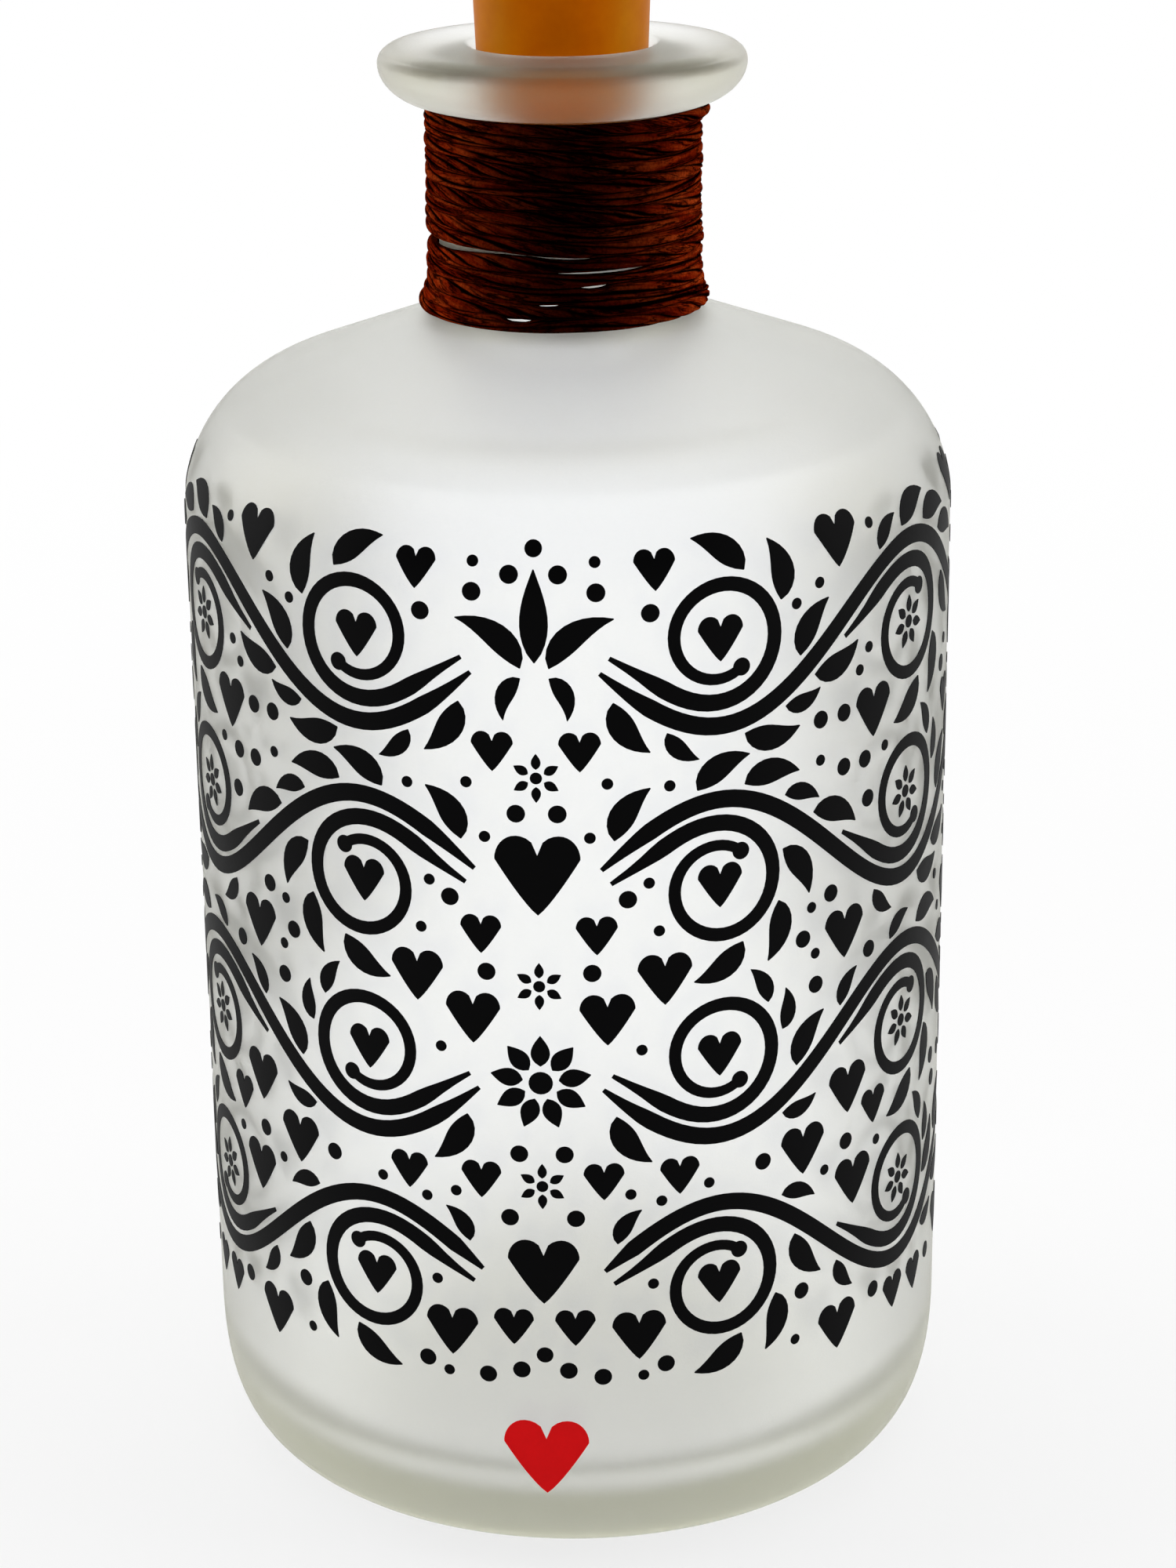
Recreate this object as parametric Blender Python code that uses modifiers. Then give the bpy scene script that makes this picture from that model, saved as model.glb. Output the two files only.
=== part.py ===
"""Frosted apothecary bottle with a cord-wound neck and a cork-shaped bottle lamp in its mouth.

Lengths are in metres and angles in degrees. +Z is up, the origin is the centre of the ring that the bottle
stands on, and the decorated front faces -Y. The stopper is a small battery lamp: its housing carries the light
emitting diode and its board, and a cartridge with three button cells and the switch pulls out of its top.
"""

import math

import bmesh
import bpy
from mathutils import Vector

# Shared clearance and mesh settings
FIT = 0.0003  # gap that pieces which seat on each other keep
CUT_OVERRUN = 0.002  # how far a cutter runs past the face that it cuts
BOTTLE_STEPS = 60  # facets round the bottle
STOPPER_STEPS = 48  # facets round the stopper's turned pieces
SMALL_STEPS = 32  # facets round the small turned pieces
CURVE_PIECES = 6  # straight pieces in a quarter of a rounded outline
MERGE_DISTANCE = 0.00001

# Glass bottle
BODY_RADIUS = 0.0417
BOTTLE_HEIGHT = 0.1594
WALL = 0.0031
BASE_THICKNESS = 0.0045
PUNT_RISE = 0.0022
FOOT_RING_WIDTH = 0.005
HEEL_INSET = 0.0111
HEEL_HEIGHT = 0.0161
HEEL_FULLNESS_SHARE = 0.72
INNER_HEEL_RADIUS = 0.009
SHOULDER_RADIUS = 0.0157
SHOULDER_SLOPE = 20.1
NECK_RADIUS = 0.0134
NECK_LENGTH = 0.024  # from the top of the lip down to the fillet at the neck's foot
NECK_FILLET = 0.0054
NECK_INNER_ROUNDING = 0.002
LIP_RADIUS = 0.0195
LIP_EDGE_REACH = 0.0024
LIP_EDGE_DROP = 0.00185
LIP_UNDERSIDE_DROP = 0.00435
MOUTH_ROUNDING = 0.001

# Cord wound round the neck
CORD_DIAMETER = 0.0011
CORD_TURNS = 12.85
CORD_POINTS_PER_TURN = 24
CORD_FOOT_DROP = 0.0026  # how far down the neck fillet the lowest turn lies
CORD_START_ANGLE = 60.0  # the lowest turn starts at the back, and the highest ends at the right

# Outside of the stopper, which tapers towards the mouth
STOPPER_RADIUS = 0.0091  # where it passes the top of the lip
STOPPER_TAPER = 2.2
STOPPER_DEPTH = 0.02
STOPPER_RISE = 0.0285
HOUSING_RISE = 0.0185
STOPPER_FOOT_ROUNDING = 0.0008
STOPPER_TOP_ROUNDING = 0.0012
PARTING_CHAMFER = 0.0003
HOUSING_WALL = 0.0012
FOOT_PLATE = 0.0012
WINDOW_OPENING_RADIUS = 0.0055
BOARD_LEDGE = 0.0007

# Window and light emitting diode at the foot of the stopper
WINDOW_FLANGE = 0.0012
WINDOW_DOME = 0.0006
DIODE_TO_WINDOW = 0.0008
DIODE_RADIUS = 0.0025
DIODE_FLANGE_RADIUS = 0.0029
DIODE_FLANGE = 0.001
DIODE_LENGTH = 0.0062
LEG_RADIUS = 0.00025
LEG_SPACING = 0.00254
LEG_STUB = 0.0004  # how far a leg stands out of the board

# Lamp board with its resistor, spring and terminal
BOARD_THICKNESS = 0.001
RESISTOR_SIZE = (0.0032, 0.0016, 0.0006)
RESISTOR_OFFSET = 0.0048
RESISTOR_EDGE = 0.0001
SPRING_WIRE = 0.0005
SPRING_HEIGHT = 0.0034
SPRING_FOOT_RADIUS = 0.0042
SPRING_TIP_RADIUS = 0.0026
SPRING_TURNS = 3
SPRING_POINTS_PER_TURN = 10
METAL_THICKNESS = 0.00025
TERMINAL_REACH = 0.0016
TERMINAL_HEIGHT = 0.0022
TERMINAL_WIDTH = 0.002

# Button cells and the cradle that holds them
CELL_RADIUS = 0.0058
CELL_THICKNESS = 0.0054
CELL_COUNT = 3
CELL_CAP_RADIUS = 0.0047
CELL_CAP_STEP = 0.0004
CELL_EDGE = 0.0004
CRADLE_WALL = 0.0006
CRADLE_LIP = 0.0006
CRADLE_LIP_RADIUS = 0.0049
CRADLE_FLOOR = 0.0012
CRADLE_SIDE_WRAP = 0.0015  # how far the side wall wraps round past half of the cells
HEAD_WALL = 0.001
HEAD_ABOVE_RIM = 0.003
STRIP_WIDTH = 0.0024
CONTACT_WIDTH = 0.003
CONTACT_REACH = 0.0035

# Cap and slide switch
CAP_TOP = 0.0015
SWITCH_LENGTH = 0.0086
SWITCH_WIDTH = 0.0036
CAN_WALL = 0.0003
SWITCH_BASE_THICKNESS = 0.0006
SWITCH_PIN_SPACING = 0.0025
SWITCH_PIN_SIZE = (0.0006, 0.0004)
SWITCH_PIN_HEAD = 0.0002  # how far a pin stands over the base, inside the switch
SWITCH_PIN_TAIL = 0.0012  # how far a pin stands out under the board
SWITCH_TRAVEL = 0.002
KNOB_LENGTH = 0.002
KNOB_WIDTH = 0.0018
KNOB_RISE = 0.0011  # how far the knob stands out of the cap
SLIDER_FOOT_LENGTH = 0.0044
SLIDER_FOOT_THICKNESS = 0.0007
BRIDGE_LENGTH = 0.0036
BRIDGE_WIDTH = 0.0014
BRIDGE_RISE = 0.0003
EDGE = 0.0002  # small rounded edge on the knob and the cap's slot

# Colours of the pieces: red, green, blue, then roughness and metallic
FINISHES = {
    "frosted_glass": ((0.80, 0.81, 0.78), 0.5, 0.0),
    "paper_cord": ((0.12, 0.02, 0.008), 0.75, 0.0),
    "cork_plastic": ((0.50, 0.17, 0.02), 0.4, 0.0),
    "clear_plastic": ((0.90, 0.90, 0.88), 0.1, 0.0),
    "black_plastic": ((0.02, 0.02, 0.02), 0.45, 0.0),
    "board": ((0.03, 0.16, 0.07), 0.5, 0.0),
    "steel": ((0.62, 0.62, 0.60), 0.3, 1.0),
    "brass": ((0.75, 0.55, 0.22), 0.35, 1.0),
    "diode": ((0.95, 0.85, 0.55), 0.2, 0.0),
    "resistor": ((0.04, 0.04, 0.045), 0.5, 0.0),
}


# Heights that follow from the sizes above
NECK_FOOT_Z = BOTTLE_HEIGHT - NECK_LENGTH
FOOT_Z = BOTTLE_HEIGHT - STOPPER_DEPTH
HOUSING_RIM_Z = BOTTLE_HEIGHT + HOUSING_RISE
STOPPER_TOP_Z = BOTTLE_HEIGHT + STOPPER_RISE
WINDOW_Z = FOOT_Z + FOOT_PLATE + FIT
DIODE_TIP_Z = WINDOW_Z + WINDOW_FLANGE + DIODE_TO_WINDOW
BOARD_Z = DIODE_TIP_Z + DIODE_LENGTH + FIT
SPRING_Z = BOARD_Z + BOARD_THICKNESS + FIT
CELL_Z = SPRING_Z + SPRING_HEIGHT + FIT
CELL_PITCH = CELL_THICKNESS + FIT
CONTACT_Z = CELL_Z + CELL_COUNT * CELL_PITCH
CRADLE_FOOT_Z = CELL_Z - FIT - CRADLE_LIP
CRADLE_CEILING_Z = CONTACT_Z + METAL_THICKNESS + FIT
HEAD_TOP_Z = HOUSING_RIM_Z + HEAD_ABOVE_RIM
SWITCH_BOARD_Z = HEAD_TOP_Z + FIT
SWITCH_Z = SWITCH_BOARD_Z + BOARD_THICKNESS + FIT
CAP_CEILING_Z = STOPPER_TOP_Z - CAP_TOP
CAN_TOP_Z = CAP_CEILING_Z - FIT

# Radii that follow from the sizes above
CELL_BAY_RADIUS = CELL_RADIUS + FIT
CRADLE_RADIUS = CELL_BAY_RADIUS + CRADLE_WALL


def stopper_radius(z):
    """Outer radius of the tapered stopper at a height."""
    return STOPPER_RADIUS + (z - BOTTLE_HEIGHT) * math.tan(math.radians(STOPPER_TAPER))


def bore_radius(z):
    """Radius of the bottle's bore, which has the stopper's taper."""
    return stopper_radius(z) + FIT


def housing_cavity_radius(z):
    return stopper_radius(z) - HOUSING_WALL


def shoulder_rise():
    """Height from the start of the round shoulder to the top of the fillet at the neck's foot."""
    slope = math.radians(SHOULDER_SLOPE)
    cone_run = BODY_RADIUS - SHOULDER_RADIUS * (1 - math.sin(slope)) - NECK_RADIUS
    fillet_rise = NECK_FILLET * math.tan((math.pi / 2 - slope) / 2)
    return SHOULDER_RADIUS * math.cos(slope) + cone_run * math.tan(slope) + fillet_rise


SHOULDER_START = NECK_FOOT_Z - shoulder_rise()
HEAD_RADIUS = housing_cavity_radius(CRADLE_CEILING_Z) - FIT
LAMP_BOARD_RADIUS = housing_cavity_radius(BOARD_Z) - FIT
LEDGE_RADIUS = housing_cavity_radius(BOARD_Z) - BOARD_LEDGE
STRIP_Y = CRADLE_RADIUS + FIT + METAL_THICKNESS / 2


# Outlines

def rounded(centre, reach, start, end, pieces=CURVE_PIECES):
    """Points of an elliptic arc in the radius-height plane, from one angle to another."""
    points = []
    for step in range(pieces + 1):
        angle = math.radians(start + (end - start) * step / pieces)
        points.append((centre[0] + reach[0] * math.cos(angle), centre[1] + reach[1] * math.sin(angle)))
    return points


def swept(first, first_handle, last_handle, last, pieces):
    """Points of a cubic Bezier curve in the radius-height plane."""
    points = []
    for step in range(pieces + 1):
        share = step / pieces
        rest = 1 - share
        weights = (rest**3, 3 * rest**2 * share, 3 * rest * share**2, share**3)
        handles = (first, first_handle, last_handle, last)
        points.append(tuple(sum(w * h[axis] for w, h in zip(weights, handles)) for axis in (0, 1)))
    return points


def shoulder_corner(wall_inset):
    """Where the round shoulder ends and its cone begins, for the outside or an offset inside it."""
    radius = SHOULDER_RADIUS - wall_inset
    turn = math.radians(90.0 - SHOULDER_SLOPE)
    r = BODY_RADIUS - SHOULDER_RADIUS + radius * math.cos(turn)
    return r, SHOULDER_START + radius * math.sin(turn)


def cone_height(r, wall_inset):
    """Height of the shoulder's cone at a radius."""
    corner_r, corner_z = shoulder_corner(wall_inset)
    return corner_z + (corner_r - r) * math.tan(math.radians(SHOULDER_SLOPE))


def outer_wall():
    """Outside of the glass, from the top of the lip down to the middle of the base."""
    top = BOTTLE_HEIGHT
    lip_centre_z = top - LIP_EDGE_DROP
    shoulder_centre = (BODY_RADIUS - SHOULDER_RADIUS, SHOULDER_START)
    fillet_centre = (NECK_RADIUS + NECK_FILLET, NECK_FOOT_Z)
    foot_radius = BODY_RADIUS - HEEL_INSET
    points = rounded((LIP_RADIUS - LIP_EDGE_REACH, lip_centre_z), (LIP_EDGE_REACH, LIP_EDGE_DROP), 90, 0)
    underside = rounded(
        (NECK_RADIUS, lip_centre_z), (LIP_RADIUS - NECK_RADIUS, LIP_UNDERSIDE_DROP), 0, -90
    )
    points += underside[1:]
    points += rounded(fillet_centre, (NECK_FILLET, NECK_FILLET), 180, 270 - SHOULDER_SLOPE, 5)
    points += rounded(shoulder_centre, (SHOULDER_RADIUS, SHOULDER_RADIUS), 90 - SHOULDER_SLOPE, 0, 8)
    points += swept(
        (BODY_RADIUS, HEEL_HEIGHT),
        (BODY_RADIUS, HEEL_HEIGHT * (1 - HEEL_FULLNESS_SHARE)),
        (foot_radius + HEEL_INSET * HEEL_FULLNESS_SHARE, 0.0),
        (foot_radius, 0.0),
        8,
    )
    punt_radius = foot_radius - FOOT_RING_WIDTH
    points += rounded((0.0, 0.0), (punt_radius, PUNT_RISE), 0, 90, 4)
    return points


def inner_wall():
    """Inside of the glass, from the middle of its floor up to the edge of the mouth."""
    floor_z = PUNT_RISE + BASE_THICKNESS
    radius = BODY_RADIUS - WALL
    bore_slope = math.tan(math.radians(STOPPER_TAPER))
    cone_slope = math.tan(math.radians(SHOULDER_SLOPE))
    corner_r = (bore_radius(0.0) + bore_slope * cone_height(0.0, WALL)) / (1 + bore_slope * cone_slope)
    corner_z = cone_height(corner_r, WALL)
    rounding = NECK_INNER_ROUNDING
    points = [(0.0, floor_z)]
    heel_centre = (radius - INNER_HEEL_RADIUS, floor_z + INNER_HEEL_RADIUS)
    points += rounded(heel_centre, (INNER_HEEL_RADIUS, INNER_HEEL_RADIUS), -90, 0, 5)
    shoulder_centre = (BODY_RADIUS - SHOULDER_RADIUS, SHOULDER_START)
    inside = SHOULDER_RADIUS - WALL
    points += rounded(shoulder_centre, (inside, inside), 0, 90 - SHOULDER_SLOPE, 6)
    slope = math.radians(SHOULDER_SLOPE)
    points += swept(
        (corner_r + rounding * math.cos(slope), corner_z - rounding * math.sin(slope)),
        (corner_r, corner_z),
        (corner_r, corner_z),
        (corner_r + rounding * bore_slope, corner_z + rounding),
        3,
    )
    mouth_r = bore_radius(BOTTLE_HEIGHT - MOUTH_ROUNDING)
    mouth_centre = (mouth_r + MOUTH_ROUNDING, BOTTLE_HEIGHT - MOUTH_ROUNDING)
    points += rounded(mouth_centre, (MOUTH_ROUNDING, MOUTH_ROUNDING), 180, 90, 3)
    return points


# Helpers that make and place pieces

def clear_scene():
    for item in list(bpy.data.objects):
        bpy.data.objects.remove(item, do_unlink=True)


def make_collection(name):
    collection = bpy.data.collections.new(name)
    bpy.context.scene.collection.children.link(collection)
    return collection


def make_materials():
    made = {}
    for name, (colour, roughness, metallic) in FINISHES.items():
        material = bpy.data.materials.new(name)
        material.use_nodes = True
        shader = material.node_tree.nodes["Principled BSDF"]
        shader.inputs["Base Color"].default_value = (*colour, 1.0)
        shader.inputs["Roughness"].default_value = roughness
        shader.inputs["Metallic"].default_value = metallic
        made[name] = material
    return made


def finish(piece, finish_name, parent=None, location=(0.0, 0.0, 0.0)):
    """Gives a piece its material, its collection and its place under the empty that carries it."""
    for collection in list(piece.users_collection):
        collection.objects.unlink(piece)
    parts.objects.link(piece)
    piece.data.materials.clear()
    piece.data.materials.append(materials[finish_name])
    piece.location = location
    if parent is not None:
        piece.parent = parent
        piece.location = Vector(location) - parent.location
    return piece


def pivot(name, height):
    """An empty on the bottle's axis that carries the pieces which move together."""
    empty = bpy.data.objects.new(name, None)
    empty.location.z = height
    parts.objects.link(empty)
    return empty


def turned(name, outline, steps, ring=False):
    """A turned piece: its outline, which runs down its outer side, is swept round the Z axis."""
    mesh = bpy.data.meshes.new(name)
    edges = [(index, index + 1) for index in range(len(outline) - 1)]
    if ring:
        edges.append((len(outline) - 1, 0))
    mesh.from_pydata([(r, 0.0, z) for r, z in outline], edges, [])
    piece = bpy.data.objects.new(name, mesh)
    screw = piece.modifiers.new("Turn", "SCREW")
    screw.axis = "Z"
    screw.angle = math.tau
    screw.steps = steps
    screw.render_steps = steps
    screw.use_merge_vertices = True
    screw.merge_threshold = MERGE_DISTANCE
    screw.use_smooth_shade = True
    return piece


def block(name, size, bevel=0.0):
    """A box about its own centre, with its edges rounded where a bevel is given."""
    bpy.ops.mesh.primitive_cube_add(size=1)
    piece = bpy.context.object
    piece.name = name
    piece.scale = size
    bpy.ops.object.transform_apply(location=False, rotation=False, scale=True)
    if bevel:
        rounding = piece.modifiers.new("Edges", "BEVEL")
        rounding.width = bevel
        rounding.segments = 2
    return piece


def cut(piece, cutter_name, size, centre):
    """Cuts a box-shaped opening, whose centre is given in the frame of the piece."""
    cutter = block(cutter_name, size)
    for collection in list(cutter.users_collection):
        collection.objects.unlink(cutter)
    cutters.objects.link(cutter)
    cutter.parent = piece
    cutter.location = centre
    cutter.hide_render = True
    cutter.display_type = "WIRE"
    boolean = piece.modifiers.new(cutter_name, "BOOLEAN")
    boolean.operation = "DIFFERENCE"
    boolean.object = cutter


def circle_outline(radius, count, centre=(0.0, 0.0)):
    return [
        (centre[0] + radius * math.cos(math.tau * i / count), centre[1] + radius * math.sin(math.tau * i / count))
        for i in range(count)
    ]


def rectangle_outline(length, width, centre=(0.0, 0.0)):
    x, y = length / 2, width / 2
    corners = ((-x, -y), (x, -y), (x, y), (-x, y))
    return [(centre[0] + corner[0], centre[1] + corner[1]) for corner in corners]


def plate(name, outlines, thickness):
    """A flat plate about its own mid plane: the first outline is its edge and the others are holes."""
    curve = bpy.data.curves.new(name, "CURVE")
    curve.dimensions = "2D"
    curve.fill_mode = "BOTH"
    curve.extrude = thickness / 2
    for outline in outlines:
        spline = curve.splines.new("POLY")
        spline.points.add(len(outline) - 1)
        for point, (x, y) in zip(spline.points, outline):
            point.co = (x, y, 0.0, 1.0)
        spline.use_cyclic_u = True
    return bpy.data.objects.new(name, curve)


def wire(name, route, diameter):
    """A round wire or cord along a list of points, with closed ends."""
    curve = bpy.data.curves.new(name, "CURVE")
    curve.dimensions = "3D"
    curve.bevel_depth = diameter / 2
    curve.bevel_resolution = 1
    curve.use_fill_caps = True
    spline = curve.splines.new("POLY")
    spline.points.add(len(route) - 1)
    for point, place in zip(spline.points, route):
        point.co = (*place, 1.0)
    return bpy.data.objects.new(name, curve)


def bent_strip(name, side_view, width):
    """A strip of sheet metal bent along a side view in the XZ plane, its width along Y."""
    mesh = bpy.data.meshes.new(name)
    strip = bmesh.new()
    points = [strip.verts.new((x, -width / 2, z)) for x, z in side_view]
    edges = [strip.edges.new(pair) for pair in zip(points, points[1:])]
    swept_edges = bmesh.ops.extrude_edge_only(strip, edges=edges)
    moved = [item for item in swept_edges["geom"] if isinstance(item, bmesh.types.BMVert)]
    bmesh.ops.translate(strip, verts=moved, vec=(0.0, width, 0.0))
    bmesh.ops.recalc_face_normals(strip, faces=strip.faces)
    strip.to_mesh(mesh)
    strip.free()
    piece = bpy.data.objects.new(name, mesh)
    sheet = piece.modifiers.new("Sheet", "SOLIDIFY")
    sheet.thickness = METAL_THICKNESS
    sheet.offset = 0.0
    sheet.use_even_offset = True
    return piece


# Bottle and winding

def glass_bottle():
    """One blown piece: inner wall, mouth, flared lip, neck, shoulder, body, heel and shallow punt."""
    return finish(turned("glass_bottle", inner_wall() + outer_wall(), BOTTLE_STEPS), "frosted_glass")


def winding_route():
    """The cord's centreline: close turns from the neck fillet up to the underside of the lip."""
    chord_sag = NECK_RADIUS * (1 - math.cos(math.pi / CORD_POINTS_PER_TURN))
    stand_off = CORD_DIAMETER / 2 + FIT + chord_sag
    lip_share = stand_off / (LIP_RADIUS - NECK_RADIUS)
    lip_z = BOTTLE_HEIGHT - LIP_EDGE_DROP - LIP_UNDERSIDE_DROP * math.sqrt(1 - lip_share**2)
    low, high = NECK_FOOT_Z - CORD_FOOT_DROP, lip_z - CORD_DIAMETER / 2 - FIT
    inside_fillet = NECK_FILLET - stand_off
    route = []
    count = round(CORD_TURNS * CORD_POINTS_PER_TURN)
    for index in range(count + 1):
        z = low + (high - low) * index / count
        radius = NECK_RADIUS + stand_off
        if z < NECK_FOOT_Z:
            radius = NECK_RADIUS + NECK_FILLET - math.sqrt(inside_fillet**2 - (NECK_FOOT_Z - z) ** 2)
        angle = math.radians(CORD_START_ANGLE) + math.tau * index / CORD_POINTS_PER_TURN
        route.append((radius * math.cos(angle), radius * math.sin(angle), z))
    return [straight_end(route[1], route[0]), *route, straight_end(route[-2], route[-1])]


def straight_end(before, end):
    """A point one cord diameter past the end of the winding, straight on."""
    run = (Vector(end) - Vector(before)).normalized()
    return tuple(Vector(end) + run * CORD_DIAMETER)


def least_gap(route, diameter, points_per_turn):
    """Smallest gap between a coiled tube's turns, measured between its centreline points."""
    apart = points_per_turn // 2
    nearest = min(
        math.dist(route[i], route[j]) for i in range(len(route)) for j in range(i + apart, len(route))
    )
    return nearest - diameter


def neck_winding():
    route = winding_route()
    gap = least_gap(route, CORD_DIAMETER, CORD_POINTS_PER_TURN)
    length = sum(math.dist(a, b) for a, b in zip(route, route[1:]))
    print(f"neck_winding: {CORD_TURNS} turns, {length:.3f} m of cord, least gap {gap * 1000:.2f} mm")
    return finish(wire("neck_winding", route, CORD_DIAMETER), "paper_cord")


# Stopper housing and the lamp in its foot

def stopper_housing(stopper):
    """The cork-shaped sleeve: open at the top, with a ledge for the board and a window in its foot."""
    rim, foot, floor = HOUSING_RIM_Z, FOOT_Z, FOOT_Z + FOOT_PLATE
    edge = STOPPER_FOOT_ROUNDING
    foot_radius = stopper_radius(foot + edge)
    chamfer = PARTING_CHAMFER
    outline = [(stopper_radius(rim) - chamfer, rim), (stopper_radius(rim), rim - chamfer)]
    outline += rounded((foot_radius - edge, foot + edge), (edge, edge), 0, -90, 4)
    outline += [(WINDOW_OPENING_RADIUS, foot), (WINDOW_OPENING_RADIUS, floor)]
    outline += [(LEDGE_RADIUS, floor), (LEDGE_RADIUS, BOARD_Z - FIT)]
    outline += [(housing_cavity_radius(BOARD_Z), BOARD_Z - FIT), (housing_cavity_radius(rim), rim)]
    local = [(r, z - foot) for r, z in outline]
    return finish(turned("stopper_housing", local, STOPPER_STEPS, ring=True), "cork_plastic", stopper, (0, 0, foot))


def light_window(stopper):
    """Clear lens that drops into the foot from inside and shows through its opening."""
    lens = WINDOW_OPENING_RADIUS - FIT
    drop = FOOT_PLATE + FIT
    outline = [(0.0, WINDOW_FLANGE), (LEDGE_RADIUS - FIT, WINDOW_FLANGE), (LEDGE_RADIUS - FIT, 0.0)]
    outline += [(lens, 0.0)]
    outline += rounded((0.0, WINDOW_DOME - drop), (lens, WINDOW_DOME), 0, -90, 5)
    piece = turned("light_window", outline, SMALL_STEPS)
    return finish(piece, "clear_plastic", stopper, (0, 0, WINDOW_Z))


def lamp_led(stopper):
    """Round diode, dome down, with a flange at its back and two legs through the board."""
    straight = DIODE_LENGTH - DIODE_FLANGE
    outline = [(0.0, DIODE_LENGTH), (DIODE_FLANGE_RADIUS, DIODE_LENGTH), (DIODE_FLANGE_RADIUS, straight)]
    outline += [(DIODE_RADIUS, straight)]
    outline += rounded((0.0, DIODE_RADIUS), (DIODE_RADIUS, DIODE_RADIUS), 0, -90, 6)
    piece = turned("lamp_led", outline, SMALL_STEPS)
    leg_length = DIODE_FLANGE / 2 + FIT + BOARD_THICKNESS + LEG_STUB
    for side in (-1, 1):
        leg = turned(f"diode_leg_{side}", leg_outline(leg_length), 8)
        cutters.objects.link(leg)
        leg.parent = piece
        leg.location = (side * LEG_SPACING / 2, 0.0, DIODE_LENGTH - DIODE_FLANGE / 2)
        leg.hide_render = True
        leg.display_type = "WIRE"
        join = piece.modifiers.new(leg.name, "BOOLEAN")
        join.operation = "UNION"
        join.object = leg
    return finish(piece, "diode", stopper, (0, 0, DIODE_TIP_Z))


def leg_outline(length):
    return [(0.0, length), (LEG_RADIUS, length), (LEG_RADIUS, 0.0), (0.0, 0.0)]


def circuit_board(stopper):
    """Round lamp board on the housing's ledge, with two holes for the diode's legs."""
    outlines = [circle_outline(LAMP_BOARD_RADIUS, SMALL_STEPS)]
    for side in (-1, 1):
        outlines.append(circle_outline(LEG_RADIUS + FIT, 8, (side * LEG_SPACING / 2, 0.0)))
    piece = plate("circuit_board", outlines, BOARD_THICKNESS)
    return finish(piece, "board", stopper, (0, 0, BOARD_Z + BOARD_THICKNESS / 2))


def led_resistor(stopper):
    piece = block("led_resistor", RESISTOR_SIZE, RESISTOR_EDGE)
    height = BOARD_Z - FIT - RESISTOR_SIZE[2] / 2
    return finish(piece, "resistor", stopper, (0, -RESISTOR_OFFSET, height))


def negative_spring(stopper):
    """Conical spring that pushes the cells up against the top contact."""
    count = SPRING_TURNS * SPRING_POINTS_PER_TURN
    climb = SPRING_HEIGHT - SPRING_WIRE
    route = []
    for index in range(count + 1):
        share = index / count
        radius = SPRING_FOOT_RADIUS + (SPRING_TIP_RADIUS - SPRING_FOOT_RADIUS) * share
        angle = math.tau * index / SPRING_POINTS_PER_TURN
        route.append((radius * math.cos(angle), radius * math.sin(angle), SPRING_WIRE / 2 + climb * share))
    gap = least_gap(route, SPRING_WIRE, SPRING_POINTS_PER_TURN)
    print(f"negative_spring: {SPRING_TURNS} turns, least gap {gap * 1000:.2f} mm")
    return finish(wire("negative_spring", route, SPRING_WIRE), "steel", stopper, (0, 0, SPRING_Z))


def board_terminal(stopper):
    """Bent blade on the lamp board that the cartridge's strip slides against."""
    side_view = [(-TERMINAL_REACH, 0.0), (0.0, 0.0), (0.0, TERMINAL_HEIGHT)]
    piece = bent_strip("board_terminal", side_view, TERMINAL_WIDTH)
    piece.rotation_euler.z = math.pi / 2
    blade_y = STRIP_Y - METAL_THICKNESS - FIT
    height = BOARD_Z + BOARD_THICKNESS + FIT + METAL_THICKNESS / 2
    return finish(piece, "brass", stopper, (0, blade_y, height))


# Cartridge: cradle, cells, contacts, cap and switch

def cell_cradle(cartridge):
    """Half-open sleeve for the cells under a cup-shaped head, which is the spigot of the cap."""
    base = CRADLE_FOOT_Z
    ceiling, head = CRADLE_CEILING_Z - base, HEAD_TOP_Z - base
    floor = ceiling + CRADLE_FLOOR
    inside_head = HEAD_RADIUS - HEAD_WALL
    outline = [(0.0, floor), (inside_head, floor), (inside_head, head), (HEAD_RADIUS, head)]
    outline += [(HEAD_RADIUS, ceiling), (CRADLE_RADIUS, ceiling), (CRADLE_RADIUS, 0.0)]
    outline += [(CRADLE_LIP_RADIUS, 0.0), (CRADLE_LIP_RADIUS, CRADLE_LIP), (CELL_BAY_RADIUS, CRADLE_LIP)]
    outline += [(CELL_BAY_RADIUS, ceiling), (0.0, ceiling)]
    piece = turned("cell_cradle", outline, STOPPER_STEPS)
    bay_height = ceiling - CRADLE_LIP
    depth = CRADLE_RADIUS + CUT_OVERRUN - CRADLE_SIDE_WRAP
    cut(
        piece,
        "cell_bay",
        (2 * (CRADLE_RADIUS + CUT_OVERRUN), depth, bay_height),
        (0.0, -CRADLE_SIDE_WRAP - depth / 2, CRADLE_LIP + bay_height / 2),
    )
    groove_depth = HEAD_RADIUS + CUT_OVERRUN - CRADLE_RADIUS
    groove_height = head + CUT_OVERRUN - ceiling + CUT_OVERRUN
    cut(
        piece,
        "strip_groove",
        (STRIP_WIDTH + 2 * FIT, groove_depth, groove_height),
        (0.0, CRADLE_RADIUS + groove_depth / 2, ceiling - CUT_OVERRUN + groove_height / 2),
    )
    slot_width = METAL_THICKNESS + 2 * FIT
    cut(
        piece,
        "contact_slot",
        (slot_width, CONTACT_WIDTH + 2 * FIT, CRADLE_FLOOR + CUT_OVERRUN),
        (CONTACT_REACH, 0.0, ceiling + CRADLE_FLOOR / 2),
    )
    return finish(piece, "black_plastic", cartridge, (0, 0, base))


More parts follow.
